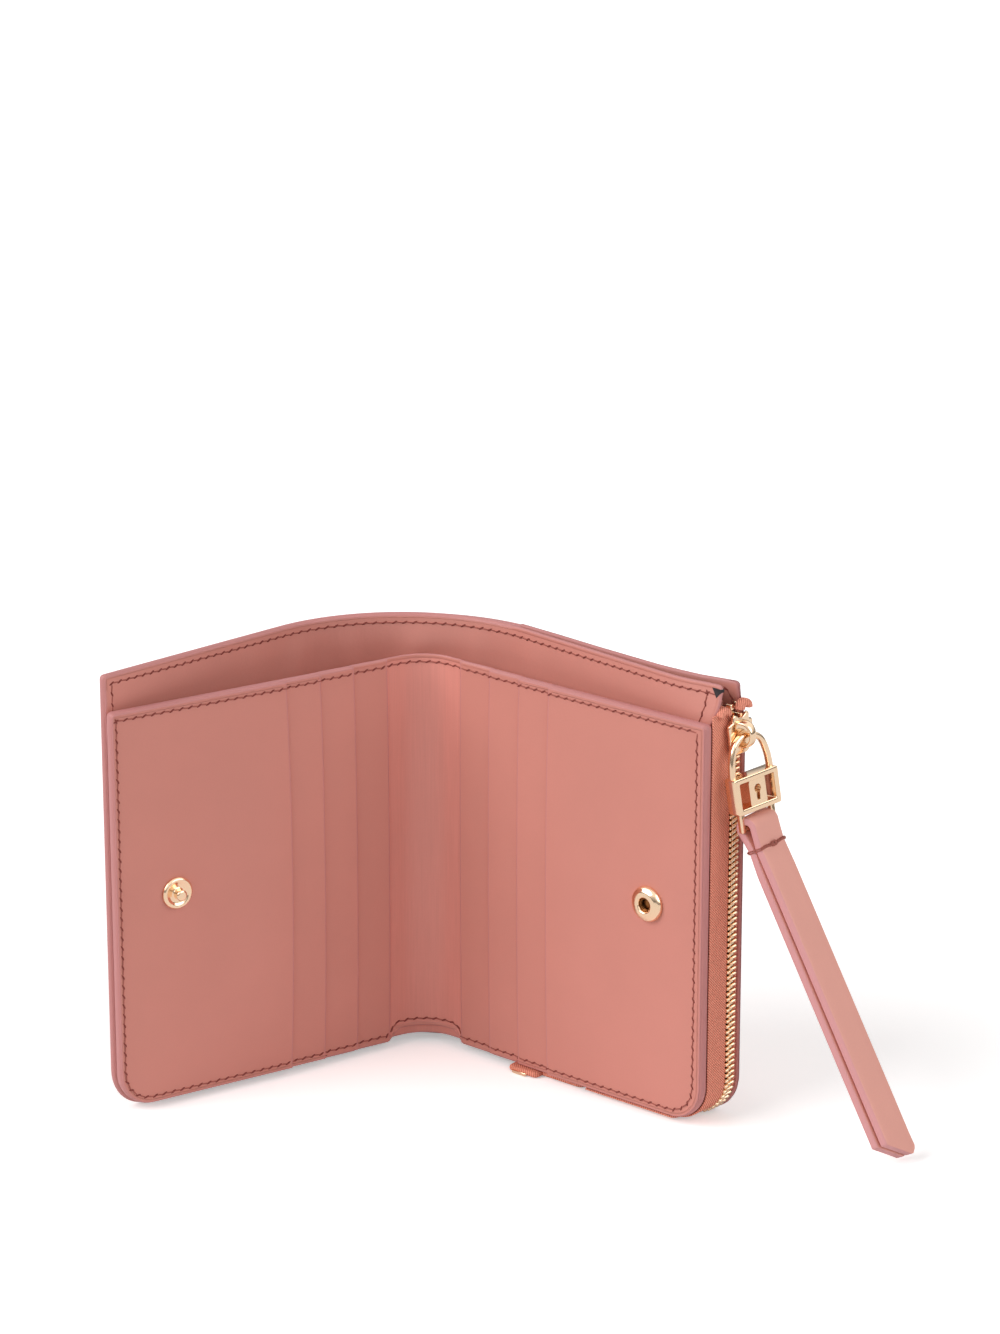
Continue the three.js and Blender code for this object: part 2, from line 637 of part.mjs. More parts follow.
// The arch that the pull hangs in, on the slider's outer plate
function sliderBridge(base, middle) {
  const { length, height } = BRIDGE_OPENING;
  const half = length / 2 + BRIDGE_WALL;
  const arch = new THREE.Shape();
  const spring = height / 2;
  arch.moveTo(-half, -BITE);
  arch.lineTo(-half, spring);
  arch.quadraticCurveTo(-half, height + BRIDGE_WALL, 0, height + BRIDGE_WALL);
  arch.quadraticCurveTo(half, height + BRIDGE_WALL, half, spring);
  arch.lineTo(half, -BITE);
  arch.lineTo(length / 2, -BITE);
  arch.lineTo(length / 2, spring);
  arch.quadraticCurveTo(length / 2, height, 0, height);
  arch.quadraticCurveTo(-length / 2, height, -length / 2, spring);
  arch.lineTo(-length / 2, -BITE);
  arch.closePath();
  const shape = new THREE.ExtrudeGeometry(arch, { depth: BRIDGE_WIDTH, bevelEnabled: false, curveSegments: 4 });
  shape.translate(0, 0, -BRIDGE_WIDTH / 2).rotateZ(-Math.PI / 2).rotateX(Math.PI / 2);
  return shape.translate(base, middle, SLIDER_BOTTOM + SLIDER_LENGTH / 2);
}
zip.add(named("zip_slider_body", sliderBody(), GOLD));

// ---- padlock pull ----
// Drawn about its hinge: y along the hinge, z up, x outwards.

const pull = new THREE.Group();
const hingeOut = SLIDER_CLEARANCE + SLIDER_PLATE + BRIDGE_OPENING.height / 2;
pull.position.set(hingeOut, -CHAIN_CENTRE, SLIDER_BOTTOM + SLIDER_LENGTH / 2);
pull.rotation.y = -HANG_ANGLE * RADIAN;
zip.add(pull);

function shackle() {
  const wide = PADLOCK_WIDTH / 2 - SHACKLE_WIRE / 2;
  const height = SHACKLE_HEIGHT;
  const egg = SHACKLE_EGG;
  const leg = (side) => [
    new THREE.Vector3(0, side * wide * egg.foot, -height + END_GAP),
    new THREE.Vector3(0, side * wide * egg.widest, -height * egg.widestDrop),
    new THREE.Vector3(0, side * wide * egg.shoulder, -height * egg.shoulderDrop),
  ];
  const route = new THREE.CatmullRomCurve3([...leg(-1), new THREE.Vector3(0, 0, 0), ...leg(1).reverse()]);
  const section = new THREE.Shape();
  section.absarc(0, 0, SHACKLE_WIRE / 2, 0, 2 * Math.PI, false);
  return new THREE.ExtrudeGeometry(section, { steps: 24, curveSegments: 8, extrudePath: route });
}

const padlockTop = -SHACKLE_HEIGHT;
const padlockBottom = padlockTop - PADLOCK_HEIGHT;
const strapOutside = STRAP_BAR_RADIUS + STRAP_BAR_CLEARANCE + STRAP_LAYER;
const barDrop = strapOutside + END_GAP;
const barHeight = padlockBottom - barDrop;

// An open frame with a key panel standing in the middle of it
function padlockBody() {
  const half = PADLOCK_WIDTH / 2;
  const thick = PADLOCK_THICKNESS / 2;
  const low = padlockBottom + PADLOCK_FRAME;
  const high = padlockTop - PADLOCK_FRAME;
  const block = box(-thick, thick, -half, half, padlockBottom, padlockTop);
  const window = (y0, y1) => box(-thick - 1, thick + 1, y0, y1, low, high);
  const middle = (low + high) / 2;
  const keyhole = new THREE.CylinderGeometry(KEYHOLE.radius, KEYHOLE.radius, PADLOCK_THICKNESS + 2, 12);
  keyhole.rotateZ(Math.PI / 2).translate(0, 0, middle + KEYHOLE.radius);
  const keyway = box(
    -thick - 1,
    thick + 1,
    -KEYHOLE.slot,
    KEYHOLE.slot,
    middle - KEYHOLE.below,
    middle + KEYHOLE.above,
  );
  return cut(
    block,
    window(-half + PADLOCK_FRAME, -KEY_PANEL_WIDTH / 2),
    window(KEY_PANEL_WIDTH / 2, half - PADLOCK_FRAME),
    join(keyhole, keyway),
  );
}

// Two legs and the bar that the strap is folded over
function strapLoop() {
  const inside = STRAP_WIDTH / 2 + STRAP_BAR_CLEARANCE;
  const outside = inside + 2 * STRAP_BAR_RADIUS;
  const low = barHeight - STRAP_BAR_RADIUS;
  const thick = STRAP_BAR_RADIUS;
  const leg = (y0, y1) => box(-thick, thick, y0, y1, low, padlockBottom - LAYER_GAP);
  const bar = new THREE.CylinderGeometry(thick, thick, inside * 2 + thick, 12);
  bar.translate(0, 0, barHeight);
  return join(leg(-outside, -inside), leg(inside, outside), bar);
}

pull.add(named("padlock_shackle", shackle(), GOLD));
pull.add(named("padlock_body", padlockBody(), GOLD));
pull.add(named("padlock_strap_loop", strapLoop(), GOLD));

// ---- strap ----
// One leather strip folded over the bar, with its two ends cut to a point; the tip leans on the floor.

const barAboveFloor =
  SLIDER_BOTTOM + SLIDER_LENGTH / 2 + barHeight * Math.cos(HANG_ANGLE * RADIAN) - STRAP_FLOOR_GAP;
const strapReach = Math.hypot(STRAP_LENGTH, strapOutside);
// A strap too short to reach the floor hangs straight down.
const strapLean = Math.acos(Math.min(1, barAboveFloor / strapReach)) + Math.atan2(strapOutside, STRAP_LENGTH);

const strap = new THREE.Group();
strap.position.set(0, 0, barHeight);
strap.rotation.y = -strapLean + HANG_ANGLE * RADIAN;
pull.add(strap);

function foldedStrap() {
  const inside = STRAP_BAR_RADIUS + STRAP_BAR_CLEARANCE;
  const fold = new THREE.Shape();
  fold.moveTo(strapOutside, -STRAP_LENGTH);
  fold.lineTo(strapOutside, 0);
  fold.absarc(0, 0, strapOutside, 0, Math.PI, false);
  fold.lineTo(-strapOutside, -STRAP_LENGTH);
  fold.lineTo(-inside, -STRAP_LENGTH);
  fold.lineTo(-inside, 0);
  fold.absarc(0, 0, inside, Math.PI, 0, true);
  fold.lineTo(inside, -STRAP_LENGTH);
  fold.closePath();
  const strip = slab(fold, -STRAP_WIDTH / 2, STRAP_WIDTH / 2);
  const half = STRAP_WIDTH / 2;
  const face = new THREE.Shape();
  face.moveTo(-half, strapOutside + 1);
  face.lineTo(-half, -STRAP_LENGTH + STRAP_TIP);
  face.lineTo(-STRAP_TIP_FLAT / 2, -STRAP_LENGTH);
  face.lineTo(STRAP_TIP_FLAT / 2, -STRAP_LENGTH);
  face.lineTo(half, -STRAP_LENGTH + STRAP_TIP);
  face.lineTo(half, strapOutside + 1);
  face.closePath();
  const outline = slab(face, -strapOutside - 1, strapOutside + 1).rotateZ(-Math.PI / 2);
  return common(strip, outline);
}

const tackHalf = STRAP_BAR_RADIUS + STRAP_BAR_CLEARANCE - LAYER_GAP;
const tackWide = STRAP_WIDTH / 2 - LAYER_GAP * 4;
const tackBottom = -TACK_BELOW_BAR - TACK_HEIGHT;
const tack = box(-tackHalf, tackHalf, -tackWide, tackWide, tackBottom, -TACK_BELOW_BAR);
strap.add(named("strap", foldedStrap(), STRAP_LEATHER));
strap.add(named("strap_tack_seam", tack, THREAD));

// ---- the whole wallet, centred over its own footprint ----

const wallet = new THREE.Group();
wallet.add(leftFront.group, leftBack.group, rightFront.group, rightBack.group, outerWall.group, spine);
const bounds = new THREE.Box3().setFromObject(wallet, true);
wallet.position.set(-(bounds.min.x + bounds.max.x) / 2, -(bounds.min.y + bounds.max.y) / 2, -bounds.min.z);

export default wallet;
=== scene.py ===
"""A compact bifold wristlet wallet, standing open like a book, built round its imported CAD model."""

import json
import math
import random

import bmesh
import bpy
import numpy as np
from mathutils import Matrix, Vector


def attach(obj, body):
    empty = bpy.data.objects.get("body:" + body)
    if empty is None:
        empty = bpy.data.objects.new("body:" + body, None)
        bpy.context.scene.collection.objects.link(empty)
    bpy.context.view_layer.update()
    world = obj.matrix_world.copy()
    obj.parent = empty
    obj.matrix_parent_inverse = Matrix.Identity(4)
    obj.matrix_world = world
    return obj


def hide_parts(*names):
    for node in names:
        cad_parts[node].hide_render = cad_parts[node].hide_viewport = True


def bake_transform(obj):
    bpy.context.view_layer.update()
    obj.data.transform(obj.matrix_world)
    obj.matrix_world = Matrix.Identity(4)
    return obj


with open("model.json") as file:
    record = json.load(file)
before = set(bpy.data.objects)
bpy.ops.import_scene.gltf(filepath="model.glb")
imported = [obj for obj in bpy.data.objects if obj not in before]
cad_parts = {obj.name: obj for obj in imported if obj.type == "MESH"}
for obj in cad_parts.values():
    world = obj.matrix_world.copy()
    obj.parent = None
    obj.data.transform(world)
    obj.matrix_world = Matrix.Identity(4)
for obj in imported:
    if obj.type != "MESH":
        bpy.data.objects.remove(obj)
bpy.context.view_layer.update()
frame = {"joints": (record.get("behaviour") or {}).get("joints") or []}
rng = random.Random(7)

# ---- sizes in millimetres, most of them as in the CAD source ----

COVER_HEIGHT = 103
HALF_WIDTH = 79.2
FRONT_TOP = 95
STACK_BOTTOM = 1.6
CORNER_RADIUS = 10
TOP_CORNER = 1.0
FRONT_ANGLE = (57, 49.5)
BACK_ANGLE = (45.5, 43)
COVER_SKIN = 1.3
LINING = 0.5
INNER_WALL = 0.9
FRONT_WALL = 0.55
LAYER_PITCH = 0.55
CARD_LAYER = 0.45
SEAT_GAP = 0.15
FACE = 1.9
FRONT_WALL_FACE = FACE + 4 * LAYER_PITCH
FRONT_WALL_BACK = FRONT_WALL_FACE + FRONT_WALL
COVER_FACE = 0.75
INNER_WALL_BACK = SEAT_GAP + INNER_WALL
POCKET_DEPTH = 8.6
POCKET_ROOT = 1.2
POCKET_LENGTH = 64
WEDGE = math.degrees(math.atan2(POCKET_DEPTH - POCKET_ROOT, POCKET_LENGTH))
POCKET_EDGES = (34.9, 25.8, 16.7, 7.6)
SPINE_RADIUS = 40
LINING_SPINE_RADIUS = 37.6
FRONT_SPINE_RADIUS = 9
FRONT_SPINE_BOTTOM = 4.2
CHAIN_CENTRE = 2.4
CHAIN_INSET = 1
CHAIN_END = (POCKET_DEPTH - 4.6) / math.tan(math.radians(WEDGE))
TAPE_TOP = 96.6
TOOTH_TOP = 92.6
TOOTH_PITCH = 1.3
TAPE_EDGE = 1.55
SLIDER_BOTTOM = 86.8
SLIDER_LENGTH = 9.4
SNAP_DISTANCE = 64
SNAP_HEIGHT = 50.4

TINY = 1e-6  # keeps a divisor from being zero
FAR = 1e3  # a distance in millimetres beyond every edge

joint_at = {j["name"]: np.array(j.get("pos_m", (0, 0, 0))) * 1000 for j in frame["joints"]}


# ---- small helpers ----


def arrays(*values):
    """The values as float arrays of one shape."""
    return np.broadcast_arrays(*(np.asarray(v, float) for v in values))


def smooth(value):
    """From 0 to 1 without a corner."""
    t = np.clip(value, 0, 1)
    return t * t * (3 - 2 * t)


def turns(count):
    """Angles evenly round a full turn."""
    return np.linspace(0, 2 * np.pi, count, endpoint=False)


def squared(value, power):
    """A sine or cosine pushed out towards 1 or -1, for a section like a rounded square."""
    return math.copysign(abs(value) ** power, value)


def unit(vector):
    return vector / np.linalg.norm(vector)


# ---- plan frames: s runs outwards along a wall, b runs behind it ----


class Plan:
    """One wall's own frame, seen from above."""

    def __init__(self, side, angle, origin):
        turn = math.radians(angle)
        self.along = np.array((side * math.sin(turn), -math.cos(turn)))
        self.behind = np.array((side * math.cos(turn), math.sin(turn)))
        self.origin = np.array(origin, float)

    def point(self, s, b):
        s, b = arrays(s, b)
        return self.origin + s[..., None] * self.along + b[..., None] * self.behind

    def place(self, s, b, z):
        s, b, z = arrays(s, b, z)
        return np.concatenate([self.point(s, b), z[..., None]], axis=-1)


def cross2(a, b):
    return a[0] * b[1] - a[1] * b[0]


class Path:
    """Runs along a left wall, round the fold and along a right wall: d is the distance from the left end."""

    def __init__(self, left, left_face, left_out, right, right_face, right_out, radius):
        start = left.point(0, left_face)
        gap = right.point(0, right_face) - start
        reach = cross2(gap, right.along) / cross2(left.along, right.along)
        apex = start + left.along * reach
        half = math.acos(float(left.along @ right.along)) / 2
        tangent = radius / math.tan(half)
        middle = unit(left.along + right.along)
        self.centre = apex + middle * (radius / math.sin(half))
        ends = [apex + wall.along * tangent for wall in (left, right)]
        self.start, self.stop = (math.atan2(*(e - self.centre)[::-1]) for e in ends)
        self.left, self.right, self.radius = left, right, radius
        self.left_face, self.right_face, self.left_out = left_face, right_face, left_out
        inner = [float((e - wall.point(0, 0)) @ wall.along) for e, wall in zip(ends, (left, right))]
        left_inner, self.right_inner = inner
        self.arc_from = left_out - left_inner
        self.arc_to = self.arc_from + radius * (self.start - self.stop)
        self.length = self.arc_to + right_out - self.right_inner

    def place(self, d, b, z):
        d, b, z = arrays(d, b, z)
        on_left = self.left.point(self.left_out - d, self.left_face + b)
        angle = self.start - (d - self.arc_from) / self.radius
        turned = np.stack([np.cos(angle), np.sin(angle)], axis=-1)
        on_arc = self.centre + (self.radius + b)[..., None] * turned
        on_right = self.right.point(self.right_inner + d - self.arc_to, self.right_face + b)
        flat = np.where((d < self.arc_from)[..., None], on_left, on_arc)
        flat = np.where((d > self.arc_to)[..., None], on_right, flat)
        return np.concatenate([flat, z[..., None]], axis=-1)


fold = joint_at["fold"][:2]
left_front = Plan(-1, FRONT_ANGLE[0], fold)
right_front = Plan(1, FRONT_ANGLE[1], fold)
left_back = Plan(-1, BACK_ANGLE[0], left_front.point(HALF_WIDTH, FRONT_WALL_BACK))
right_back = Plan(1, BACK_ANGLE[1], right_front.point(HALF_WIDTH, FRONT_WALL_BACK))
outer = Plan(1, BACK_ANGLE[1] + WEDGE, right_back.point(0, INNER_WALL_BACK + POCKET_DEPTH))


def pocket_gap(s):
    return POCKET_DEPTH + s * math.tan(math.radians(WEDGE))


FREE_CORNER = 92  # above this height the back wall's right corner isn't sewn in
LEAN_PLACES = (-64, -52, -40, -20, -10, 0)
LEAN_MOST = (0, 1.0, 2.3, 4.0, 3.8, 2.1)


def outer_place(s, b, z):
    """The outer wall's soft upper part leans against the inner wall."""
    s, b, z = arrays(s, b, z)
    most = np.interp(s, LEAN_PLACES, LEAN_MOST)
    inland = np.clip((-s - 3) / 10, 0, 1)
    up = inland * smooth((z - 40) / 58) + (1 - inland) * smooth((z - FREE_CORNER) / 10)
    return outer.place(s, b - most * up, z)


front_path = Path(
    left_front, FRONT_WALL_FACE, HALF_WIDTH, right_front, FRONT_WALL_FACE, HALF_WIDTH, FRONT_SPINE_RADIUS
)
lining_path = Path(left_back, SEAT_GAP, 0, right_back, SEAT_GAP, 0, LINING_SPINE_RADIUS)
cover_path = Path(left_back, COVER_FACE, 0, outer, 0, 0, SPINE_RADIUS)


def back_wall_place(d, b, z):
    """The right outer edge is sewn in behind the zip tape; only its top corner stands free and turns back."""
    d, b, z = arrays(d, b, z)
    near = smooth((d - lining_path.length + 14) / 14)
    inland = 1.6 * near * (1 - smooth((z - FREE_CORNER) / 7))
    back = 2.2 * smooth((d - lining_path.length + 18) / 18) ** 2 * smooth((z - FREE_CORNER) / 11)
    return lining_path.place(d - inland, b + back, z)


# ---- meshes ----


def mesh_object(name, points, faces, material, grain=None, edge=None, soft=True):
    """A closed mesh from points in millimetres.

    grain places its texture, edge its painted rim, and soft shades it smooth.
    """
    points = np.asarray(points, float).reshape(-1, 3)
    mesh = bpy.data.meshes.new(name)
    mesh.from_pydata((points / 1000).tolist(), [], faces)
    mesh.validate()
    work = bmesh.new()
    work.from_mesh(mesh)
    bmesh.ops.recalc_face_normals(work, faces=work.faces)
    if work.calc_volume(signed=True) < 0:
        bmesh.ops.reverse_faces(work, faces=work.faces)
    work.to_mesh(mesh)
    work.free()
    grain = points if grain is None else np.asarray(grain, float).reshape(-1, 3)
    grain_data = mesh.attributes.new("grain", "FLOAT_VECTOR", "POINT").data
    grain_data.foreach_set("vector", grain.astype(np.float32).ravel())
    edge = np.zeros(len(points)) if edge is None else np.asarray(edge, float).ravel()
    mesh.attributes.new("edge", "FLOAT", "POINT").data.foreach_set("value", edge.astype(np.float32))
    mesh.materials.append(material)
    if soft:
        mesh.shade_smooth()
    piece = bpy.data.objects.new(name, mesh)
    bpy.context.scene.collection.objects.link(piece)
    return piece


def grid_faces(rows, columns, offset, flip=False):
    r, c = np.meshgrid(np.arange(rows - 1), np.arange(columns - 1), indexing="ij")
    a = (r * columns + c + offset).ravel()
    quads = np.stack([a, a + 1, a + columns + 1, a + columns], axis=-1)
    return quads[:, ::-1].tolist() if flip else quads.tolist()


def closed_faces(rows, columns):
    """Faces of two grids of points, one behind the other, and of the band that joins their edges."""
    total = rows * columns
    index = np.arange(total).reshape(rows, columns)
    ring = np.concatenate([index[0, :-1], index[:-1, -1], index[-1, :0:-1], index[:0:-1, 0]])
    after = np.roll(ring, -1)
    band = np.stack([ring, ring + total, after + total, after], axis=-1).tolist()
    return grid_faces(rows, columns, 0) + grid_faces(rows, columns, total, flip=True) + band


def ring_faces(count, around, offset=0, joined=False):
    """Faces between closed rings of points, capped at both ends or joined from last to first."""
    faces = []
    for i in range(count if joined else count - 1):
        a, b = offset + i * around, offset + (i + 1) % count * around
        for j in range(around):
            k = (j + 1) % around
            faces.append([a + j, a + k, b + k, b + j])
    if not joined:
        faces.append([offset + j for j in range(around - 1, -1, -1)])
        faces.append([offset + (count - 1) * around + j for j in range(around)])
    return faces


def corner_inset(depth, radius):
    """How far a rounded corner of that radius pulls in, at a depth from its flat side."""
    h = np.clip((radius - depth) / max(radius, TINY), 0, 1)
    return radius * (1 - np.sqrt(1 - h * h))


LIP_STEPS = np.array((0, 0.04, 0.15, 0.35, 0.65, 1.0))
LIP_CLEARANCE = 1.2


def spread(low, high, step, near):
    """Values from low to high about a step apart, with close ones in a band of width near at both ends."""
    inner = np.linspace(low, high, max(2, int(round((high - low) / step)) + 1))
    lip = near * LIP_STEPS
    middle = inner[(inner > low + near * LIP_CLEARANCE) & (inner < high - near * LIP_CLEARANCE)]
    return np.concatenate([low + lip, middle, (high - lip)[::-1]])


class Outline:
    """A wall's outline over (d, z), with its own corner radius at each lower corner and at the top."""

    def __init__(self, low, high, bottom, top, corners, tops=(TOP_CORNER, TOP_CORNER), notch=None):
        self.low, self.high, self.bottom, self.top = low, high, bottom, top
        self.corners, self.tops, self.notch = corners, tops, notch

    def lift(self, d):
        return 0 if self.notch is None else self.notch(np.asarray(d, float))

    def inset(self, z, end):
        lower = corner_inset(z - self.bottom, self.corners[end])
        return lower + corner_inset(self.top - z, self.tops[end])

    def distance(self, d, z, open_ends):
        """From the outline inwards; an open end doesn't count."""
        gaps = [z - self.bottom - self.lift(d), self.top - z]
        for end, gap in enumerate((d - self.low, self.high - d)):
            if open_ends[end]:
                continue
            gaps.append(gap)
            for radius, height in ((self.corners[end], z - self.bottom), (self.tops[end], self.top - z)):
                away = radius - np.hypot(radius - gap, radius - height)
                inside = (gap < radius) & (height < radius)
                gaps.append(np.where(inside, away, FAR))
        return np.clip(np.min(np.broadcast_arrays(*gaps), axis=0), 0, None)


CORNER_PULL = 12.0  # how far from an end its rounded corner still moves the columns


def sheet_points(outline, columns, rows, open_ends):
    """A grid of (d, z) over the outline. Columns near a rounded corner pull in with it."""
    d, z = np.meshgrid(columns, rows)
    for end, sign in ((0, 1), (1, -1)):
        if open_ends[end]:
            continue
        edge = (outline.low, outline.high)[end]
        gap = sign * (d - edge)
        inset = outline.inset(z, end)
        moved = inset + gap * (CORNER_PULL - inset) / CORNER_PULL
        d = np.where(gap < CORNER_PULL, edge + sign * moved, d)
    rise = outline.lift(d)
    z = z + rise * (outline.top - z) / (outline.top - outline.bottom)
    return d, z


SHEET_STEP = 3.0
EDGE_BAND = 1.6
CORNER_ROWS = np.array((0.01, 0.03, 0.06, 0.1, 0.17, 0.25, 0.35, 0.5, 0.7, 1))


def sheet(
    name, place, outline, front, back, material,
    open_ends=(False, False), relief=None, roll=0.45, extra=(), thin=None,
):
    """A leather or cloth sheet with rounded edges. front and back are its faces, measured behind the path.

    relief moves both faces, thin takes from the back one, roll rounds the edges and extra adds columns.
    """
    columns = spread(outline.low, outline.high, SHEET_STEP, EDGE_BAND)
    if len(extra):
        columns = np.unique(np.concatenate([columns, np.asarray(extra, float)]))
    rows = spread(outline.bottom, outline.top, SHEET_STEP, EDGE_BAND)
    rows = np.unique(np.concatenate([rows, outline.bottom + max(outline.corners) * CORNER_ROWS]))
    d, z = sheet_points(outline, columns, rows, open_ends)
    radius = roll * (back - front)
    gap = outline.distance(d, z, open_ends)
    lip = corner_inset(gap, radius)
    shift = 0 if relief is None else relief(d, z)
    thinned = 0 if thin is None else thin(d, z)
    faces_at = [front + lip + shift, back - lip + shift - thinned]
    points = np.concatenate([place(d, b, z).reshape(-1, 3) for b in faces_at])
    grain = np.concatenate([np.stack([d, z, np.full_like(d, layer)], axis=-1) for layer in (0, 3)])
    edge = np.concatenate([np.exp(-((gap / (radius + 0.1)) ** 2)).ravel()] * 2)
    return mesh_object(name, points, closed_faces(*d.shape), material, grain, edge)


SHARP_RADIUS = 0.02  # the least radius of a rim's corner


def loop_of(outline, step):
    """Points round the outline: (d, z) and the outward direction, from the lower left clockwise."""
    low, high, bottom, top = outline.low, outline.high, outline.bottom, outline.top
    pieces = []

    def arc(cx, cz, radius, begin, end, count):
        angles = np.radians(np.linspace(begin, end, count))
        out = np.stack([np.cos(angles), np.sin(angles)], axis=-1)
        pieces.append((np.array((cx, cz)) + out * max(radius, SHARP_RADIUS), out))

    def line(a, b, out):
        a, b = np.array(a, float), np.array(b, float)
        count = max(2, int(np.linalg.norm(b - a) / step))
        t = np.linspace(0, 1, count + 1)[1:-1, None]
        pieces.append((a + (b - a) * t, np.tile(out, (len(t), 1))))

    r0, r1 = outline.corners
    t0, t1 = outline.tops
    arc(low + r0, bottom + r0, r0, 270, 180, 12)
    line((low, bottom + r0), (low, top - t0), (-1.0, 0.0))
    arc(low + t0, top - t0, t0, 180, 90, 5)
    line((low + t0, top), (high - t1, top), (0.0, 1.0))
    arc(high - t1, top - t1, t1, 90, 0, 5)
    line((high, top - t1), (high, bottom + r1), (1.0, 0.0))
    arc(high - r1, bottom + r1, r1, 0, -90, 12)
    line((high - r1, bottom), (low + r0, bottom), (0.0, -1.0))
    points, outs = (np.concatenate(part) for part in zip(*pieces))
    points[:, 1] += outline.lift(points[:, 0]) * (points[:, 1] < bottom + 0.5)
    return points, outs


BEAD_WIDTH = 0.9
BEAD_PROUD = 0.06
BEAD_ROUND = 1.1
BEAD_STEP = 1.2
BEAD_OVERLAP = 0.03
BEAD_LIP = 0.12


def bead(name, place, outline, front, back, material):
    """The painted rim round a stack of sheets: front and back give the stack's faces at each (d, z)."""
    points, outs = loop_of(outline, BEAD_STEP)
    d, z = points.T
    near, far = front(d, z) - BEAD_OVERLAP, back(d, z) + BEAD_OVERLAP
    radius = np.minimum(BEAD_ROUND, (far - near) * 0.48)
    angles = np.radians(np.linspace(0, 90, 6))
    rings, edges = [], []

    def ring(depth, b, edge):
        at = points - outs * depth[:, None]
        rings.append(place(at[:, 0], b, at[:, 1]))
        edges.append(np.full(len(points), edge))

    flat = np.full(len(points), BEAD_WIDTH)
    ring(flat, near + BEAD_LIP, 0.0)
    ring(flat * 0.95, near, 0.0)
    for level, inward, order in ((near, 1, angles), (far, -1, angles[::-1])):
        for a in order:
            pull = np.maximum(radius * (1 - math.sin(a)), 0) - BEAD_PROUD * math.sin(a)
            ring(pull, level + inward * radius * (1 - math.cos(a)), math.sin(a))
    ring(flat * 0.95, far, 0.0)
    ring(flat, far - BEAD_LIP, 0.0)
    count, around = len(rings), len(points)
    grain = np.concatenate([np.stack([d, z, np.full(around, float(i))], axis=-1) for i in range(count)])
    faces = ring_faces(count, around, joined=True)
    return mesh_object(name, np.concatenate(rings), faces, material, grain, np.concatenate(edges))


# ---- stitches ----

STITCH_PITCH = 2.3
STITCH_GAP = 0.06  # of a pitch, at both ends of a thread
THREAD_RADIUS = 0.15
THREAD_LIFT = 0.09
THREAD_ASIDE = 0.09
THREAD_WANDER = 0.05
HOLE_RADIUS = 0.21
HOLE_LIFT = 0.07
HOLE_REACH = 0.78
HOLE_SLANT = 0.42
STROKE_SIDES, STROKE_RINGS = 5, 5


def stroke(a, b, normal, radius, lift):
    """The points of a rounded stroke from a to b lying on a surface, sunk at both ends."""
    along = b - a
    side = unit(np.cross(normal, along))
    points = []
    for t in np.linspace(0, 1, STROKE_RINGS):
        swell = math.sqrt(max(0.0, 1 - (2 * t - 1) ** 4))
        thick = radius * (0.35 + 0.65 * swell)
        centre = a + along * t + normal * (lift * swell - 0.06)
        for turn in turns(STROKE_SIDES):
            points.append(centre + side * thick * math.cos(turn) + normal * thick * math.sin(turn))
    return points


def stitches(name, runs):
    """Thread lying from hole to hole along each run, and a slanted stroke of painted shade for each hole."""
    points, faces, edge = [], [], []
    for place, line, level, facing in runs:
        line = np.asarray(line, float)
        gaps = np.linalg.norm(np.diff(line, axis=0), axis=1)
        travel = np.concatenate([[0], np.cumsum(gaps)])
        count = max(1, int(round(travel[-1] / STITCH_PITCH)))
        pitch = travel[-1] / count

        def spot(t):
            return np.array([np.interp(t * pitch, travel, line[:, i]) for i in (0, 1)])

        for k in range(count):
            start, end = spot(k + STITCH_GAP), spot(k + 1 - STITCH_GAP)
            direction = (end - start) / max(np.linalg.norm(end - start), TINY)
            across = np.array((-direction[1], direction[0]))
            wander = THREAD_WANDER * (rng.random() - 0.5)
            hole = spot(k)
            lean = HOLE_SLANT * HOLE_REACH * (0.85 + 0.3 * rng.random())
            slant = direction * HOLE_REACH * 0.8 + across * lean
            entry, leave = start + across * (THREAD_ASIDE + wander), end - across * (THREAD_ASIDE - wander)
            # the second stroke is the needle hole, drawn dark as painted shade
            for first, last, radius, lift, dark in (
                (entry, leave, THREAD_RADIUS, THREAD_LIFT, 0.0),
                (hole - slant, hole + slant, HOLE_RADIUS, HOLE_LIFT, 1.0),
            ):
                middle = (first + last) / 2
                b = float(level(np.array(middle[0]), np.array(middle[1])))
                ends = [place(p[0], b, p[1]) for p in (first, last)]
                normal = place(middle[0], b + 0.2 * facing, middle[1]) - place(middle[0], b, middle[1])
                faces += ring_faces(STROKE_RINGS, STROKE_SIDES, len(points))
                points += stroke(*ends, unit(normal), radius, lift)
                edge += [dark] * STROKE_RINGS * STROKE_SIDES
    return mesh_object(name, points, faces, seam_thread, edge=edge)


# ---- materials ----


def rgb(code):
    """A colour written as on a screen, as linear values."""
    parts = [int(code[i : i + 2], 16) / 255 for i in (0, 2, 4)]
    return [p / 12.92 if p <= 0.04045 else ((p + 0.055) / 1.055) ** 2.4 for p in parts] + [1.0]


def shade(colour, factor):
    """A colour made darker or lighter."""
    return [min(1.0, c * factor) for c in colour[:3]] + [1.0]


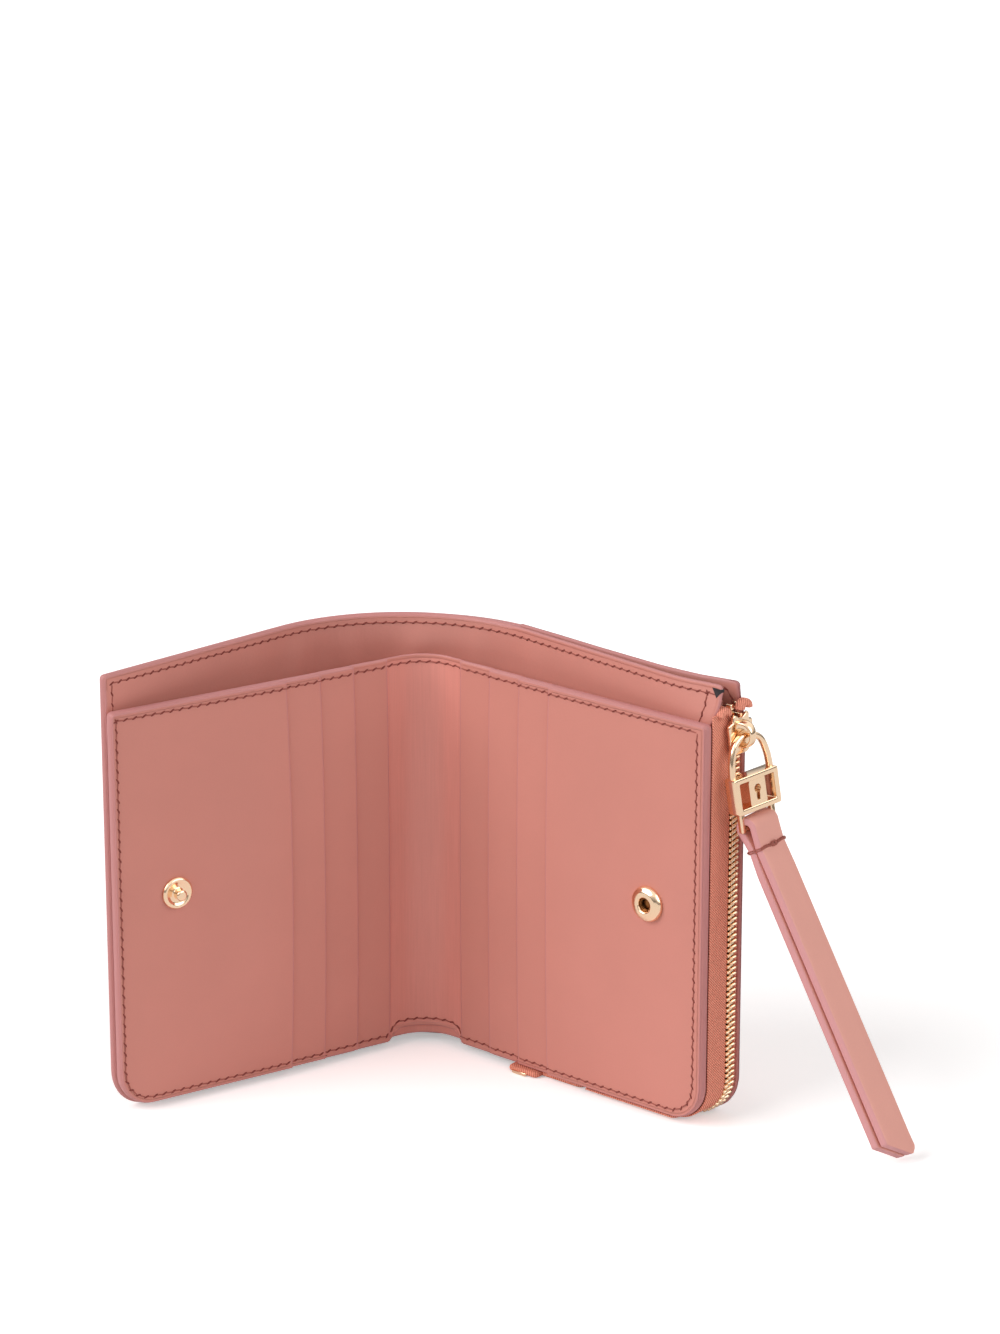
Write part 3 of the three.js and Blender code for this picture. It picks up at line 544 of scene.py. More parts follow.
class Shader:
    """A small helper that adds nodes to a material or a world and links them."""

    def __init__(self, owner):
        owner.use_nodes = True
        self.owner, self.nodes, self.links = owner, owner.node_tree.nodes, owner.node_tree.links

    def add(self, kind, **settings):
        """A new node. A setting is one of its own, or else the value of the input of that name."""
        node = self.nodes.new(kind)
        for key, value in settings.items():
            if hasattr(node, key):
                setattr(node, key, value)
            else:
                node.inputs[key.replace("_", " ")].default_value = value
        return node

    def feed(self, node, *values):
        """Links or sets inputs: each value is an input's name or number, then what it gets."""
        for index, value in zip(values[::2], values[1::2]):
            if isinstance(value, bpy.types.NodeSocket):
                self.links.new(value, node.inputs[index])
            else:
                node.inputs[index].default_value = value

    def attribute(self, name, output):
        return self.add("ShaderNodeAttribute", attribute_name=name).outputs[output]

    def stretched(self, vector, scale):
        node = self.add("ShaderNodeMapping", Scale=scale)
        self.feed(node, "Vector", vector)
        return node.outputs["Vector"]

    def noise(self, vector, scale, detail, roughness=0.5):
        node = self.add("ShaderNodeTexNoise", Scale=scale, Detail=detail, Roughness=roughness)
        self.feed(node, "Vector", vector)
        return node.outputs["Fac"]

    def ramp(self, value, low, high, at):
        node = self.add("ShaderNodeValToRGB")
        for stop, position, colour in zip(node.color_ramp.elements, at, (low, high)):
            stop.position, stop.color = position, colour
        self.feed(node, "Fac", value)
        return node.outputs["Color"]

    def mix(self, factor, a, b):
        """A mix of two colours; the colour sockets of the node are 6 and 7, and its result is 2."""
        node = self.add("ShaderNodeMix", data_type="RGBA", blend_type="MIX")
        self.feed(node, 0, factor, 6, a, 7, b)
        return node.outputs[2]

    def math(self, operation, *values):
        node = self.add("ShaderNodeMath", operation=operation)
        for index, value in enumerate(values):
            self.feed(node, index, value)
        return node.outputs[0]

    def bump(self, height, strength, distance):
        node = self.add("ShaderNodeBump", Strength=strength, Distance=distance)
        self.feed(node, "Height", height)
        self.feed(self.nodes["Principled BSDF"], "Normal", node.outputs["Normal"])

    def surface(self, *values):
        self.feed(self.nodes["Principled BSDF"], *values)


def leather(name, colour, rim, roughness=0.5, fibre=0.0, grain_scale=2.6, bump=0.25):
    """Smooth dyed leather: fine grain, soft cloudiness, a painted rim, and upright fibre where asked."""
    s = Shader(bpy.data.materials.new(name))
    at = s.attribute("grain", "Vector")
    cloud = s.noise(at, 0.05, 4)
    pores = s.noise(at, grain_scale, 2, 0.6)
    creases = s.noise(at, grain_scale * 0.35, 5, 0.65)
    lighter, darker = shade(colour, 1.03), shade(colour, 0.965)
    tone = s.ramp(cloud, darker, lighter, (0.3, 0.7))
    tone = s.mix(0.35, tone, s.ramp(pores, darker, lighter, (0.3, 0.7)))
    height = s.math("ADD", s.math("MULTIPLY", pores, 0.6), s.math("MULTIPLY", creases, 0.8))
    if fibre:
        streaks = s.noise(s.stretched(at, (2.2, 0.05, 0.6)), 1.0, 5, 0.7)
        tone = s.mix(fibre, tone, s.ramp(streaks, shade(colour, 0.82), lighter, (0.35, 0.65)))
        height = s.math("ADD", height, s.math("MULTIPLY", streaks, 2.0 * fibre))
    tone = s.mix(s.attribute("edge", "Fac"), tone, rim)
    rough = s.math("ADD", s.math("MULTIPLY", creases, 0.16), roughness - 0.08)
    s.surface("Base Color", tone, "Roughness", rough, "Specular IOR Level", 0.42)
    s.bump(height, bump, 0.00006)
    return s.owner


def cloth(name, colour, pitch, contrast, depth=0.5):
    """Twill: fine diagonal ribs broken up along their length."""
    s = Shader(bpy.data.materials.new(name))
    at = s.attribute("grain", "Vector")
    split = s.add("ShaderNodeSeparateXYZ")
    s.feed(split, 0, at)
    x, y = split.outputs["X"], split.outputs["Y"]
    wave = s.math("SINE", s.math("MULTIPLY", s.math("ADD", x, y), 2 * math.pi / pitch))
    cross = s.math("SINE", s.math("MULTIPLY", s.math("SUBTRACT", x, y), 2 * math.pi / (pitch * 0.8)))
    fuzz = s.noise(at, 3.0, 3, 0.7)
    rib = s.math("ADD", s.math("MULTIPLY", wave, 0.5), s.math("MULTIPLY", cross, 0.12))
    rib = s.math("ADD", rib, fuzz)
    tone = s.ramp(rib, shade(colour, 1 - contrast), shade(colour, 1 + contrast), (0.1, 0.95))
    s.surface("Base Color", tone, "Roughness", 0.85, "Specular IOR Level", 0.25)
    s.bump(rib, depth, 0.00012)
    return s.owner


def thread(name, colour, hole):
    """Twisted sewing thread, and the painted shade of its needle holes."""
    s = Shader(bpy.data.materials.new(name))
    twist = s.noise(s.attribute("grain", "Vector"), 4.0, 2, 0.5)
    tone = s.ramp(twist, shade(colour, 0.75), colour, (0.3, 0.7))
    tone = s.mix(s.attribute("edge", "Fac"), tone, hole)
    s.surface("Base Color", tone, "Roughness", 0.7)
    s.bump(twist, 0.4, 0.0001)
    return s.owner


def gold(name, colour, roughness):
    """Polished plated metal with the faintest unevenness."""
    s = Shader(bpy.data.materials.new(name))
    wear = s.noise(s.attribute("grain", "Vector"), 0.9, 3, 0.6)
    rough = s.math("ADD", s.math("MULTIPLY", wear, 0.08), roughness)
    s.surface("Base Color", colour, "Metallic", 1.0, "Roughness", rough)
    s.bump(wear, 0.05, 0.0001)
    return s.owner


PINK = rgb("CC8578")
RIM = rgb("C28280")
leather_front = leather("leather_panels", PINK, RIM)
# the front wall's pink is lighter than the panels' as painted light on the shaded hollow at the fold; its
# upright fibre is grain
leather_front_wall_painted_light = leather("leather_centre_painted_light", rgb("DC8F82"), RIM, fibre=0.3)
# the lining's pink is a little lighter than the panels' as painted light, where little light reaches inside
# the compartment
leather_lining_painted_light = leather("leather_lining_painted_light", rgb("D28B7E"), RIM, roughness=0.42, grain_scale=1.6, bump=0.6)
leather_cover = leather("leather_cover", PINK, RIM)
leather_strap = leather("leather_strap", rgb("E4A294"), rgb("D29494"), roughness=0.48)
tape_cloth = cloth("zip_tape", rgb("FF957E"), 0.62, 0.36, depth=0.9)
pocket_cloth = cloth("pocket_cloth", rgb("3A3436"), 0.5, 0.15)
# the thread's second colour is painted shade, the dark of the needle holes
seam_thread = thread("seam_thread", rgb("AC6053"), rgb("80382F"))
gold_metal = gold("gold_metal", rgb("FADAB8"), 0.1)
# a darker gold as painted shade, for the hollow inside the snap socket
gold_painted_shade = gold("gold_in_shade", rgb("8C5C34"), 0.3)


# ---- how pieces follow the bodies ----

RIGHT, LEFT, WALL = "right_half", "left_half", "coin_pocket_wall"
SLIDER, PULL, STRAP = "zip_slider", "pull", "strap"


def across_fold(piece):
    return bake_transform(piece)


def across_front(piece):
    return across_fold(piece)


def across_spine(piece):
    return across_fold(piece)


def with_wall(piece):
    """Bakes the place of a piece on the coin pocket's outer wall into its mesh."""
    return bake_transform(piece)


def belongs(piece, motion, slot, *nodes):
    """Attaches a piece to a body by name, or hands it to a function that bakes its place, and hides the CAD
    nodes it stands for. slot is not used.
    """
    if callable(motion):
        motion(piece)
    else:
        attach(piece, motion)
    if nodes:
        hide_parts(*nodes)


# ---- card pockets, front wall and their rim ----

BOW_REACH = 60.0
BOW_HEIGHTS = ((1.6, 1.2, 0.85, 0.5), (0.8, 0.65, 0.5, 0.3))  # left and right half, pocket 1 to 4


def bowed(layer, side):
    """How far a pocket's free edge stands forward, most at half height."""
    start = POCKET_EDGES[layer - 1]
    height = BOW_HEIGHTS[side][layer - 1]

    def relief(s, z):
        t = np.clip((s - start) / (BOW_REACH - start), 0, 1)
        up = np.sin(np.pi * np.clip((z - STACK_BOTTOM - 3) / (FRONT_TOP - STACK_BOTTOM - 6), 0, 1)) ** 0.7
        return -height * (1 - t) ** 2 * (1 + 2 * t) * up

    return relief


EDGE, BACK_EDGE = 0.25, 0.3  # how far the front and the back leathers end inside their painted rims
CUT = 0.05  # the radius of a corner that is simply cut
stack_corner = CORNER_RADIUS - STACK_BOTTOM
for side, (wall, word, body) in enumerate(((left_front, "left", LEFT), (right_front, "right", RIGHT))):
    for layer in range(1, 5):
        outline = Outline(
            POCKET_EDGES[layer - 1],
            HALF_WIDTH - EDGE,
            STACK_BOTTOM + EDGE,
            FRONT_TOP - EDGE,
            (CUT, stack_corner - EDGE),
            (CUT, 0.8),
        )
        face = FACE + (layer - 1) * LAYER_PITCH
        node = f"{word}_card_pocket_{layer}"
        bow = bowed(layer, side)
        piece = sheet(
            f"{node}_leather", wall.place, outline, face, face + CARD_LAYER, leather_front, relief=bow
        )
        belongs(piece, body, "leather", node)


def fold_notch(d):
    """The front wall's lower edge rises at the fold."""
    middle = (front_path.arc_from + front_path.arc_to) / 2
    return (FRONT_SPINE_BOTTOM - STACK_BOTTOM) * smooth((9.4 - np.abs(d - middle)) / 1.2)


front_outline = Outline(0, front_path.length, STACK_BOTTOM, FRONT_TOP, (stack_corner,) * 2, notch=fold_notch)
arc_columns = np.linspace(front_path.arc_from, front_path.arc_to, 15)
inner_outline = Outline(
    EDGE,
    front_path.length - EDGE,
    STACK_BOTTOM + EDGE,
    FRONT_TOP - EDGE,
    (stack_corner - EDGE,) * 2,
    notch=fold_notch,
)
piece = sheet(
    "front_wall_leather", front_path.place, inner_outline, 0, FRONT_WALL, leather_front_wall_painted_light, extra=arc_columns
)
belongs(piece, across_front, "leather", "left_front_wall", "front_wall_spine", "right_front_wall")

STEP_RUN = 0.35  # how gently the rim steps down from one pocket to the next


def stack_front(d, z):
    """The outermost card pocket's face at a distance along the front wall, from that wall's face."""
    level = np.zeros_like(np.asarray(d, float))
    for s, inside in (
        (HALF_WIDTH - d, d < front_path.arc_from),
        (HALF_WIDTH - (front_path.length - d), d > front_path.arc_to),
    ):
        for count, near in enumerate(POCKET_EDGES[::-1]):
            t = np.clip((s - near) / STEP_RUN, 0, 1)
            level = np.where(inside & (s > near), np.minimum(level, -(count + t) * LAYER_PITCH), level)
    return level


def stack_back(d, z):
    """The front wall's back; at the right outer edge the coin pocket's inner wall is bound in."""
    t = np.clip((d - front_path.length + 3.0) / 2.5, 0, 1)
    below = np.clip((FRONT_TOP - 0.6 - z) / 1.2, 0, 1)
    return FRONT_WALL + 0.1 * t * below


backing_outline = Outline(
    front_path.arc_from - 14, front_path.arc_to + 14, STACK_BOTTOM + 0.5, 70, (0.3, 0.3), (0.3, 0.3)
)
piece = sheet(
    "front_wall_backing",
    front_path.place,
    backing_outline,
    FRONT_WALL + 0.06,
    FRONT_WALL + 0.5,
    leather_front_wall_painted_light,
    extra=arc_columns,
)
belongs(piece, across_front, "leather")

piece = bead("front_rim", front_path.place, front_outline, stack_front, stack_back, leather_front)
belongs(piece, across_front, "leather")

# ---- bill compartment's back wall, which is also the coin pocket's inner wall ----


def soft_folds(d, z):
    """Slight creases by the fold and in the upper left corner."""
    middle = (lining_path.arc_from + lining_path.arc_to) / 2
    folds = 0
    # each crease: where it meets the top edge, its lean, its width and how far it stands forward
    for at, lean, width, height in (
        (middle - 38, 0.25, 3.5, -0.35), (middle - 25, 0.18, 3.0, -0.75), (middle - 14, -0.10, 2.4, -0.5),
        (middle + 3, 0.08, 3.5, -0.8), (middle + 16, -0.14, 2.6, -0.45), (middle + 34, -0.2, 3.5, -0.4),
        (6.0, 0.8, 0.9, -0.35), (9.5, 0.7, 1.1, -0.3),
    ):
        folds = folds + height * np.exp(-(((d - at) - lean * (z - COVER_HEIGHT)) / width) ** 2)
    fade = np.clip((COVER_HEIGHT - 2.6 - z) / 6, 0, 1)
    return folds * fade


lining_outline = Outline(
    BACK_EDGE,
    lining_path.length - BACK_EDGE,
    0.7,
    COVER_HEIGHT - BACK_EDGE,
    (CORNER_RADIUS - BACK_EDGE,) * 2,
)
piece = sheet(
    "bill_compartment_lining",
    back_wall_place,
    lining_outline,
    0,
    LINING,
    leather_lining_painted_light,
    relief=lambda d, z: np.minimum(soft_folds(d, z), 0.06),
    extra=np.linspace(lining_path.arc_from, lining_path.arc_to, 30),
)
belongs(piece, across_spine, "leather", "left_lining", "spine_lining", "coin_pocket_inner_wall")

inner_low = lining_path.arc_to + 0.5
inner_outline = Outline(
    inner_low,
    lining_path.length - BACK_EDGE,
    STACK_BOTTOM,
    COVER_HEIGHT - BACK_EDGE,
    (CUT, stack_corner),
    (CUT, 1),
)
piece = sheet(
    "coin_pocket_inner_wall_leather",
    back_wall_place,
    inner_outline,
    LINING - 0.02,
    INNER_WALL,
    leather_lining_painted_light,
    roll=0.4,
)
belongs(piece, RIGHT, "leather", "coin_pocket_inner_wall")

back_outline = Outline(0, lining_path.length, 0.0, COVER_HEIGHT, (CORNER_RADIUS, CORNER_RADIUS))


def rim_back(d, z):
    """The cover's back face behind the left half and the fold, then the inner wall's own back."""
    t = np.clip((lining_path.arc_to - 1.5 - d) / 3.0, 0, 1)
    return INNER_WALL + (COVER_FACE + COVER_SKIN - SEAT_GAP - INNER_WALL) * t


# ---- cover, spine and the coin pocket's outer wall ----

arc_end = cover_path.arc_to
cover_outline = Outline(
    BACK_EDGE,
    arc_end,
    BACK_EDGE,
    COVER_HEIGHT - BACK_EDGE,
    (CORNER_RADIUS - BACK_EDGE, CUT),
    (TOP_CORNER, CUT),
)
piece = sheet(
    "cover_leather",
    cover_path.place,
    cover_outline,
    0,
    COVER_SKIN,
    leather_cover,
    open_ends=(False, True),
    extra=np.linspace(cover_path.arc_from, cover_path.arc_to, 30),
)
belongs(piece, across_spine, "cover_leather", "left_cover", "spine_cover")

wall_low = cover_path.right_inner
wall_outline = Outline(wall_low, 0, 0, COVER_HEIGHT, (CUT, CORNER_RADIUS), (CUT, TOP_CORNER))
piece = sheet(
    "coin_pocket_outer_wall_leather",
    outer_place,
    wall_outline,
    0,
    COVER_SKIN,
    leather_cover,
    open_ends=(True, False),
    roll=0.45,
    thin=lambda d, z: 0.45 * smooth((d + 4) / 4) + 0.3 * smooth((z - 98) / 5),
)
belongs(piece, with_wall, "cover_leather", "coin_pocket_outer_wall")

piece = bead("cover_rim", back_wall_place, back_outline, lambda d, z: d * 0.0, rim_back, leather_front)
belongs(piece, across_spine, "cover_leather")

# ---- pocket cloth and gusset ----

cloth_outline = Outline(wall_low + 3, -6.5, 4, 98.6, (0.5, 7.0), (0.5, 0.8))
piece = sheet(
    "outer_pocket_cloth", outer_place, cloth_outline, -0.35, -0.1, pocket_cloth, open_ends=(True, False)
)
belongs(piece, with_wall, "pocket_cloth", "coin_pocket_outer_cloth")
inner_cloth_outline = Outline(inner_low + 1, lining_path.length - 1.2, 4, 102.2, (0.5, 7.0), (0.5, 0.8))
piece = sheet(
    "inner_pocket_cloth",
    back_wall_place,
    inner_cloth_outline,
    INNER_WALL + 0.1,
    INNER_WALL + 0.35,
    pocket_cloth,
    open_ends=(True, False),
)
belongs(piece, RIGHT, "pocket_cloth", "coin_pocket_inner_cloth")


def cloth_corner():
    """The dark cloth shows where the inner wall's corner is turned back."""
    end = lining_path.length
    patch = [(end - 2.4, 102.3), (end + 0.12, 102.2), (end + 0.12, 101.6), (end - 1.0, 100.2)]
    points = [back_wall_place(d, b, z) for b in (-0.08, INNER_WALL) for d, z in patch]
    faces = [[0, 1, 2, 3], [7, 6, 5, 4]] + [[i, i + 4, (i + 1) % 4 + 4, (i + 1) % 4] for i in range(4)]
    return mesh_object("pocket_cloth_corner", points, faces, pocket_cloth, soft=False)


belongs(cloth_corner(), RIGHT, "pocket_cloth")

GUSSET_TOP = 98.0
GUSSET_THICK = 0.6


def gusset():
    """A soft folded web that closes the coin pocket's top a little below its walls."""
    grid_s, grid_t = np.meshgrid(np.linspace(wall_low + 3, -4.0, 24), np.linspace(0, 1, 13))
    sag = np.clip(pocket_gap(grid_s) * 0.5, 0.5, 4.0) * np.sin(np.pi * grid_t) ** 0.8
    inner_edge = right_back.place(grid_s, INNER_WALL_BACK + 0.4, GUSSET_TOP)
    outer_edge = outer_place(grid_s, -0.45, GUSSET_TOP)
    middle = inner_edge + (outer_edge - inner_edge) * grid_t[..., None]
    drop = sag[..., None] * np.array((0, 0, 1.0))
    layers = [(middle - drop + np.array((0, 0, lift))).reshape(-1, 3) for lift in (0, -GUSSET_THICK)]
    faces = closed_faces(*grid_s.shape)
    return mesh_object("coin_pocket_gusset", np.concatenate(layers), faces, leather_lining_painted_light)


belongs(gusset(), RIGHT, "leather", "coin_pocket_top_gusset")

# ---- seams ----

SEAM = 1.75
SIDE_SEAM = 2.2
LEFT_SEAM = 1.2
COVER_SEAM = 2.1
SURFACE_LIFT = 0.02


def corner_run(x, z, radius, begin, end, steps=9):
    """Points round a corner, from one angle to another in degrees."""
    angles = np.radians(np.linspace(begin, end, steps))
    return [(x + radius * math.cos(a), z + radius * math.sin(a)) for a in angles]


def front_run():
    """From the upper left corner down, along the bottom and up to the upper right corner."""
    low, high, top_line = LEFT_SEAM, front_path.length - SIDE_SEAM, FRONT_TOP - SEAM
    bottom, bend = STACK_BOTTOM + SEAM, stack_corner - SEAM
    run = [(low, top_line), *corner_run(low + bend, bottom + bend, bend, 180, 270)]
    run += [(d, bottom + float(fold_notch(d))) for d in np.linspace(low + bend + 1, high - bend - 1, 150)]
    return run + [*corner_run(high - bend, bottom + bend, bend, 270, 360), (high, top_line)]


def front_level(d, z):
    return stack_front(d, z) - SURFACE_LIFT


def inside_level(d, z):
    return -SURFACE_LIFT


def outside_level(d, z):
    return COVER_SKIN + SURFACE_LIFT


top_run = [(d, FRONT_TOP - SEAM) for d in np.linspace(LEFT_SEAM, front_path.length - SIDE_SEAM, 90)]
front_runs = [(front_path.place, line, front_level, -1) for line in (front_run(), top_run)]
belongs(stitches("front_seam", front_runs), across_front, "thread")

top = COVER_HEIGHT - COVER_SEAM
lining_end = lining_path.length
lining_lines = [
    [(SIDE_SEAM, z) for z in np.linspace(FRONT_TOP - 4, top, 12)],
    [(d, top) for d in np.linspace(SIDE_SEAM, lining_end - 1.2, 90)],
    [(lining_end - 3.6, z) for z in np.linspace(top, FRONT_TOP - 6, 14)],
]
lining_runs = [(back_wall_place, line, inside_level, -1) for line in lining_lines]
belongs(stitches("bill_compartment_seam", lining_runs), across_spine, "thread")

bend = CORNER_RADIUS - COVER_SEAM
back_line = [(arc_end, COVER_SEAM), *[(d, COVER_SEAM) for d in np.linspace(arc_end - 2, CORNER_RADIUS, 60)]]
back_line += corner_run(CORNER_RADIUS, CORNER_RADIUS, bend, 262, 180, 8)
back_line += [(COVER_SEAM, top - 1), (3, top)] + [(d, top) for d in np.linspace(5, arc_end, 60)]
piece = stitches("cover_back_seam", [(cover_path.place, back_line, outside_level, 1)])
belongs(piece, across_spine, "thread")

wall_top = [(-3, top), (-COVER_SEAM, top - 1)]
wall_line = [(wall_low, top), *wall_top, (-COVER_SEAM, CORNER_RADIUS)]
wall_line += corner_run(-CORNER_RADIUS, CORNER_RADIUS, bend, -8, -90, 8) + [(wall_low, COVER_SEAM)]
inside_line = [(wall_low + 4, top), *wall_top, (-COVER_SEAM, TAPE_TOP - 2)]
wall_runs = [(outer_place, wall_line, outside_level, 1), (outer_place, inside_line, inside_level, -1)]
belongs(stitches("outer_wall_seam", wall_runs), with_wall, "thread")

# ---- small metal and cloth shapes ----

BAR_END_TAPER = 0.55
BAR_END_BULGE = 0.3


def outward(loop):
    """At each point of a flat loop, the step that moves both its sides out by one."""
    after, before = np.roll(loop, -1, axis=0), np.roll(loop, 1, axis=0)
    sides = (loop - before, after - loop)
    normals = [np.stack([e[:, 1], -e[:, 0]], axis=-1) / np.linalg.norm(e, axis=1)[:, None] for e in sides]
    out = normals[0] + normals[1]
    out /= np.maximum(TINY, (out * out).sum(axis=1))[:, None] / 2
    area = 0.5 * np.sum(loop[:, 0] * after[:, 1] - after[:, 0] * loop[:, 1])
    return out if area > 0 else -out


def bevelled(loop, first, last, bevel, axis, steps, hole=False):
    """Rings along an axis from the level first to the level last, with both edges rounded."""
    loop = np.asarray(loop, float)
    out = -outward(loop) if hole else outward(loop)
    heading = 1 if last > first else -1
    angles = np.radians(np.linspace(0, 90, steps))
    rings = []
    for level, inward, order in ((first, heading, angles), (last, -heading, angles[::-1])):
        for a in order:
            depth = level + inward * bevel * (1 - math.cos(a))
            rings.append(list(np.insert(loop - out * (bevel * (1 - math.sin(a))), axis, depth, axis=1)))
    return rings


class Solid:
    """Closed shells gathered into one piece, each placed by the same function."""

    def __init__(self, place):
        self.place, self.points, self.faces, self.local = place, [], [], []

    def rings(self, rings, joined=False):
        self.faces += ring_faces(len(rings), len(rings[0]), len(self.points), joined)
        for ring in rings:
            for point in ring:
                self.local.append(point)
                self.points.append(self.place(np.asarray(point, float)))

    def tube(self, route, radius, sides=14, closed=False):
        """A round bar along a route of points."""
        route = [np.asarray(p, float) for p in route]
        count = len(route)
        rings = []
        previous = None
        for i, p in enumerate(route):
            before = route[i - 1] if i or closed else p
            after = route[(i + 1) % count] if i < count - 1 or closed else p
            along = unit(after - before)
            if previous is None:
                guess = np.array((0, 1, 0)) if abs(along[1]) < 0.9 else np.array((1, 0, 0))
                previous = np.cross(along, guess)
            previous = unit(previous - along * (previous @ along))
            other = np.cross(along, previous)
            rings.append([p + radius * (previous * math.cos(a) + other * math.sin(a)) for a in turns(sides)])
        if not closed:
            ends = []
            for ring, centre, inner in ((rings[0], route[0], route[1]), (rings[-1], route[-1], route[-2])):
                bulge = unit(centre - inner) * (np.linalg.norm(ring[0] - centre) * BAR_END_BULGE)
                ends.append([centre + (q - centre) * BAR_END_TAPER + bulge for q in ring])
            rings = [ends[0], *rings, ends[1]]
        self.rings(rings, joined=closed)

    def bar(self, route, side, half_width, half_thick, powers, sides):
        """A flat bar along a route of points.

        half_width gives half its width, along the fixed direction side, at each share of its way.
        """
        side = np.array(side, float)
        last = len(route) - 1
        rings = []
        for i, p in enumerate(route):
            other = np.cross(side, unit(route[min(i + 1, last)] - route[max(i - 1, 0)]))
            wide = side * half_width(i / last)
            ring = []
            for a in turns(sides):
                across, up = squared(math.cos(a), powers[0]), squared(math.sin(a), powers[1])
                ring.append(p + wide * across + other * half_thick * up)
            rings.append(ring)
        self.rings(rings)

    def slab(self, outline, low, high, bevel, axis, steps=3):
        """A plate with rounded edges: the outline is over the two other axes, low to high along the axis."""
        self.rings(bevelled(outline, low, high, bevel, axis, steps))

    def ring_slab(self, outline, hole, low, high, bevel, axis, steps):
        """A plate with one hole: both loops hold the same number of points in the same turn."""
        outside = bevelled(outline, low, high, bevel, axis, steps)
        self.rings(outside + bevelled(hole, high, low, bevel, axis, steps, hole=True), joined=True)

    def piece(self, name, material, edge=None, soft=True):
        return mesh_object(name, self.points, self.faces, material, self.local, edge, soft)


def rounded(width, height, radius, centre):
    """A rounded rectangle as a loop of points."""
    x, z = width / 2 - radius, height / 2 - radius
    points = []
    for cx, cz, begin in ((x, z, 0), (-x, z, 90), (-x, -z, 180), (x, -z, 270)):
        points += corner_run(centre[0] + cx, centre[1] + cz, radius, begin, begin + 90, 5)
    return np.array(points)


def smooth_route(knots, count):
    """A smooth curve through knots."""
    knots = np.asarray(knots, float)
    travel = np.concatenate([[0], np.cumsum(np.linalg.norm(np.diff(knots, axis=0), axis=1) ** 0.5)])
    slopes = np.gradient(knots, travel, axis=0)
    t = np.linspace(0, travel[-1], count)
    i = np.clip(np.searchsorted(travel, t, side="right") - 1, 0, len(knots) - 2)
    width = (travel[i + 1] - travel[i])[:, None]
    u = ((t - travel[i])[:, None]) / width
    return (
        (2 * u**3 - 3 * u**2 + 1) * knots[i]
        + (u**3 - 2 * u**2 + u) * width * slopes[i]
        + (-2 * u**3 + 3 * u**2) * knots[i + 1]
        + (u**3 - u**2) * width * slopes[i + 1]
    )


# ---- snap fastener ----


def turned(wall, profile):
    """A turned piece standing out of a card pocket's face: the profile is (radius, height)."""
    solid = Solid(lambda p: wall.place(SNAP_DISTANCE + p[0], FACE - p[2], SNAP_HEIGHT + SNAP_RAISE + p[1]))
    solid.rings([
        [(radius * math.cos(a), radius * math.sin(a), height) for a in turns(SNAP_SEGMENTS)]
        for radius, height in profile
    ])
    return solid


def softened(profile):
    """The profile with its corners rounded."""
    profile = np.asarray(profile, float)
    points = [profile[0]]
    for before, at, after in zip(profile, profile[1:], profile[2:]):
        back, ahead = before - at, after - at
        reach = min(PROFILE_ROUND, np.linalg.norm(back) * 0.45, np.linalg.norm(ahead) * 0.45)
        p0, p1 = at + unit(back) * reach, at + unit(ahead) * reach
        for t in (0, 0.5, 1):
            points.append((1 - t) ** 2 * p0 + 2 * t * (1 - t) * at + t * t * p1)
    points.append(profile[-1])
    return points


SNAP_RAISE = 0.3
SNAP_SEGMENTS = 56
PROFILE_ROUND = 0.16
STUD = [
    (0.02, -0.4), (1.1, -0.4), (1.1, -0.1), (3.7, -0.1), (3.75, 0.45), (3.35, 0.95), (2.75, 0.9), (2.3, 0.6),
    (1.4, 0.5), (1.1, 0.75), (1.1, 1.95), (1.35, 2.35), (1.0, 2.75), (0.02, 2.8),
]
SOCKET = [
    (0.02, -0.4), (1.1, -0.4), (1.1, -0.1), (4.1, -0.1), (4.15, 0.45), (3.8, 1.15), (2.9, 1.6), (1.9, 1.7),
    (1.6, 1.4), (1.55, 0.1), (0.02, 0.05),
]
# the socket's hollow and its spring are drawn in the darker gold: painted shade inside the socket
SOCKET_INSIDE = [(0.02, 0.06), (1.5, 0.06), (1.5, 0.35), (0.75, 0.3), (0.3, 0.5), (0.02, 0.5)]
SPRING_RADIUS, SPRING_WIRE, SPRING_LEVELS = 1.38, 0.13, (0.6, 0.95)

piece = turned(left_front, softened(STUD)).piece("snap_stud_cap", gold_metal)
belongs(piece, LEFT, "gold_metal", "snap_stud")
piece = turned(right_front, softened(SOCKET)).piece("snap_socket_cap", gold_metal)
belongs(piece, RIGHT, "gold_metal", "snap_socket")
solid = turned(right_front, SOCKET_INSIDE)
for height in SPRING_LEVELS:
    ring = [(SPRING_RADIUS * math.cos(a), SPRING_RADIUS * math.sin(a), height) for a in turns(40)]
    solid.tube(ring, SPRING_WIRE, 8, closed=True)
belongs(solid.piece("snap_socket_inside", gold_painted_shade), RIGHT, "gold_metal", "snap_socket_spring")

# ---- zip ----

CHAIN_RADIUS = CORNER_RADIUS - CHAIN_INSET


def chain_frame(t, out=0.0):
    """Place over (x, z) at a distance t down the chain, and how far out of the edge."""
    t = np.asarray(t, float)
    straight = TAPE_TOP - CORNER_RADIUS
    bend = CHAIN_RADIUS * np.pi / 2
    turn = np.clip((t - straight) / CHAIN_RADIUS, 0, np.pi / 2)
    x = -CORNER_RADIUS + (CHAIN_RADIUS + out) * np.cos(turn) - np.clip(t - straight - bend, 0, None)
    z = CORNER_RADIUS - (CHAIN_RADIUS + out) * np.sin(turn) + np.clip(straight - t, 0, None)
    return x, z


CHAIN_LENGTH = TAPE_TOP - CORNER_RADIUS + CHAIN_RADIUS * math.pi / 2 + CHAIN_END - CORNER_RADIUS


def chain_place(p):
    x, z = chain_frame(p[0], p[2])
    return outer.place(x, p[1], z)


TAPE_THICK = 0.5


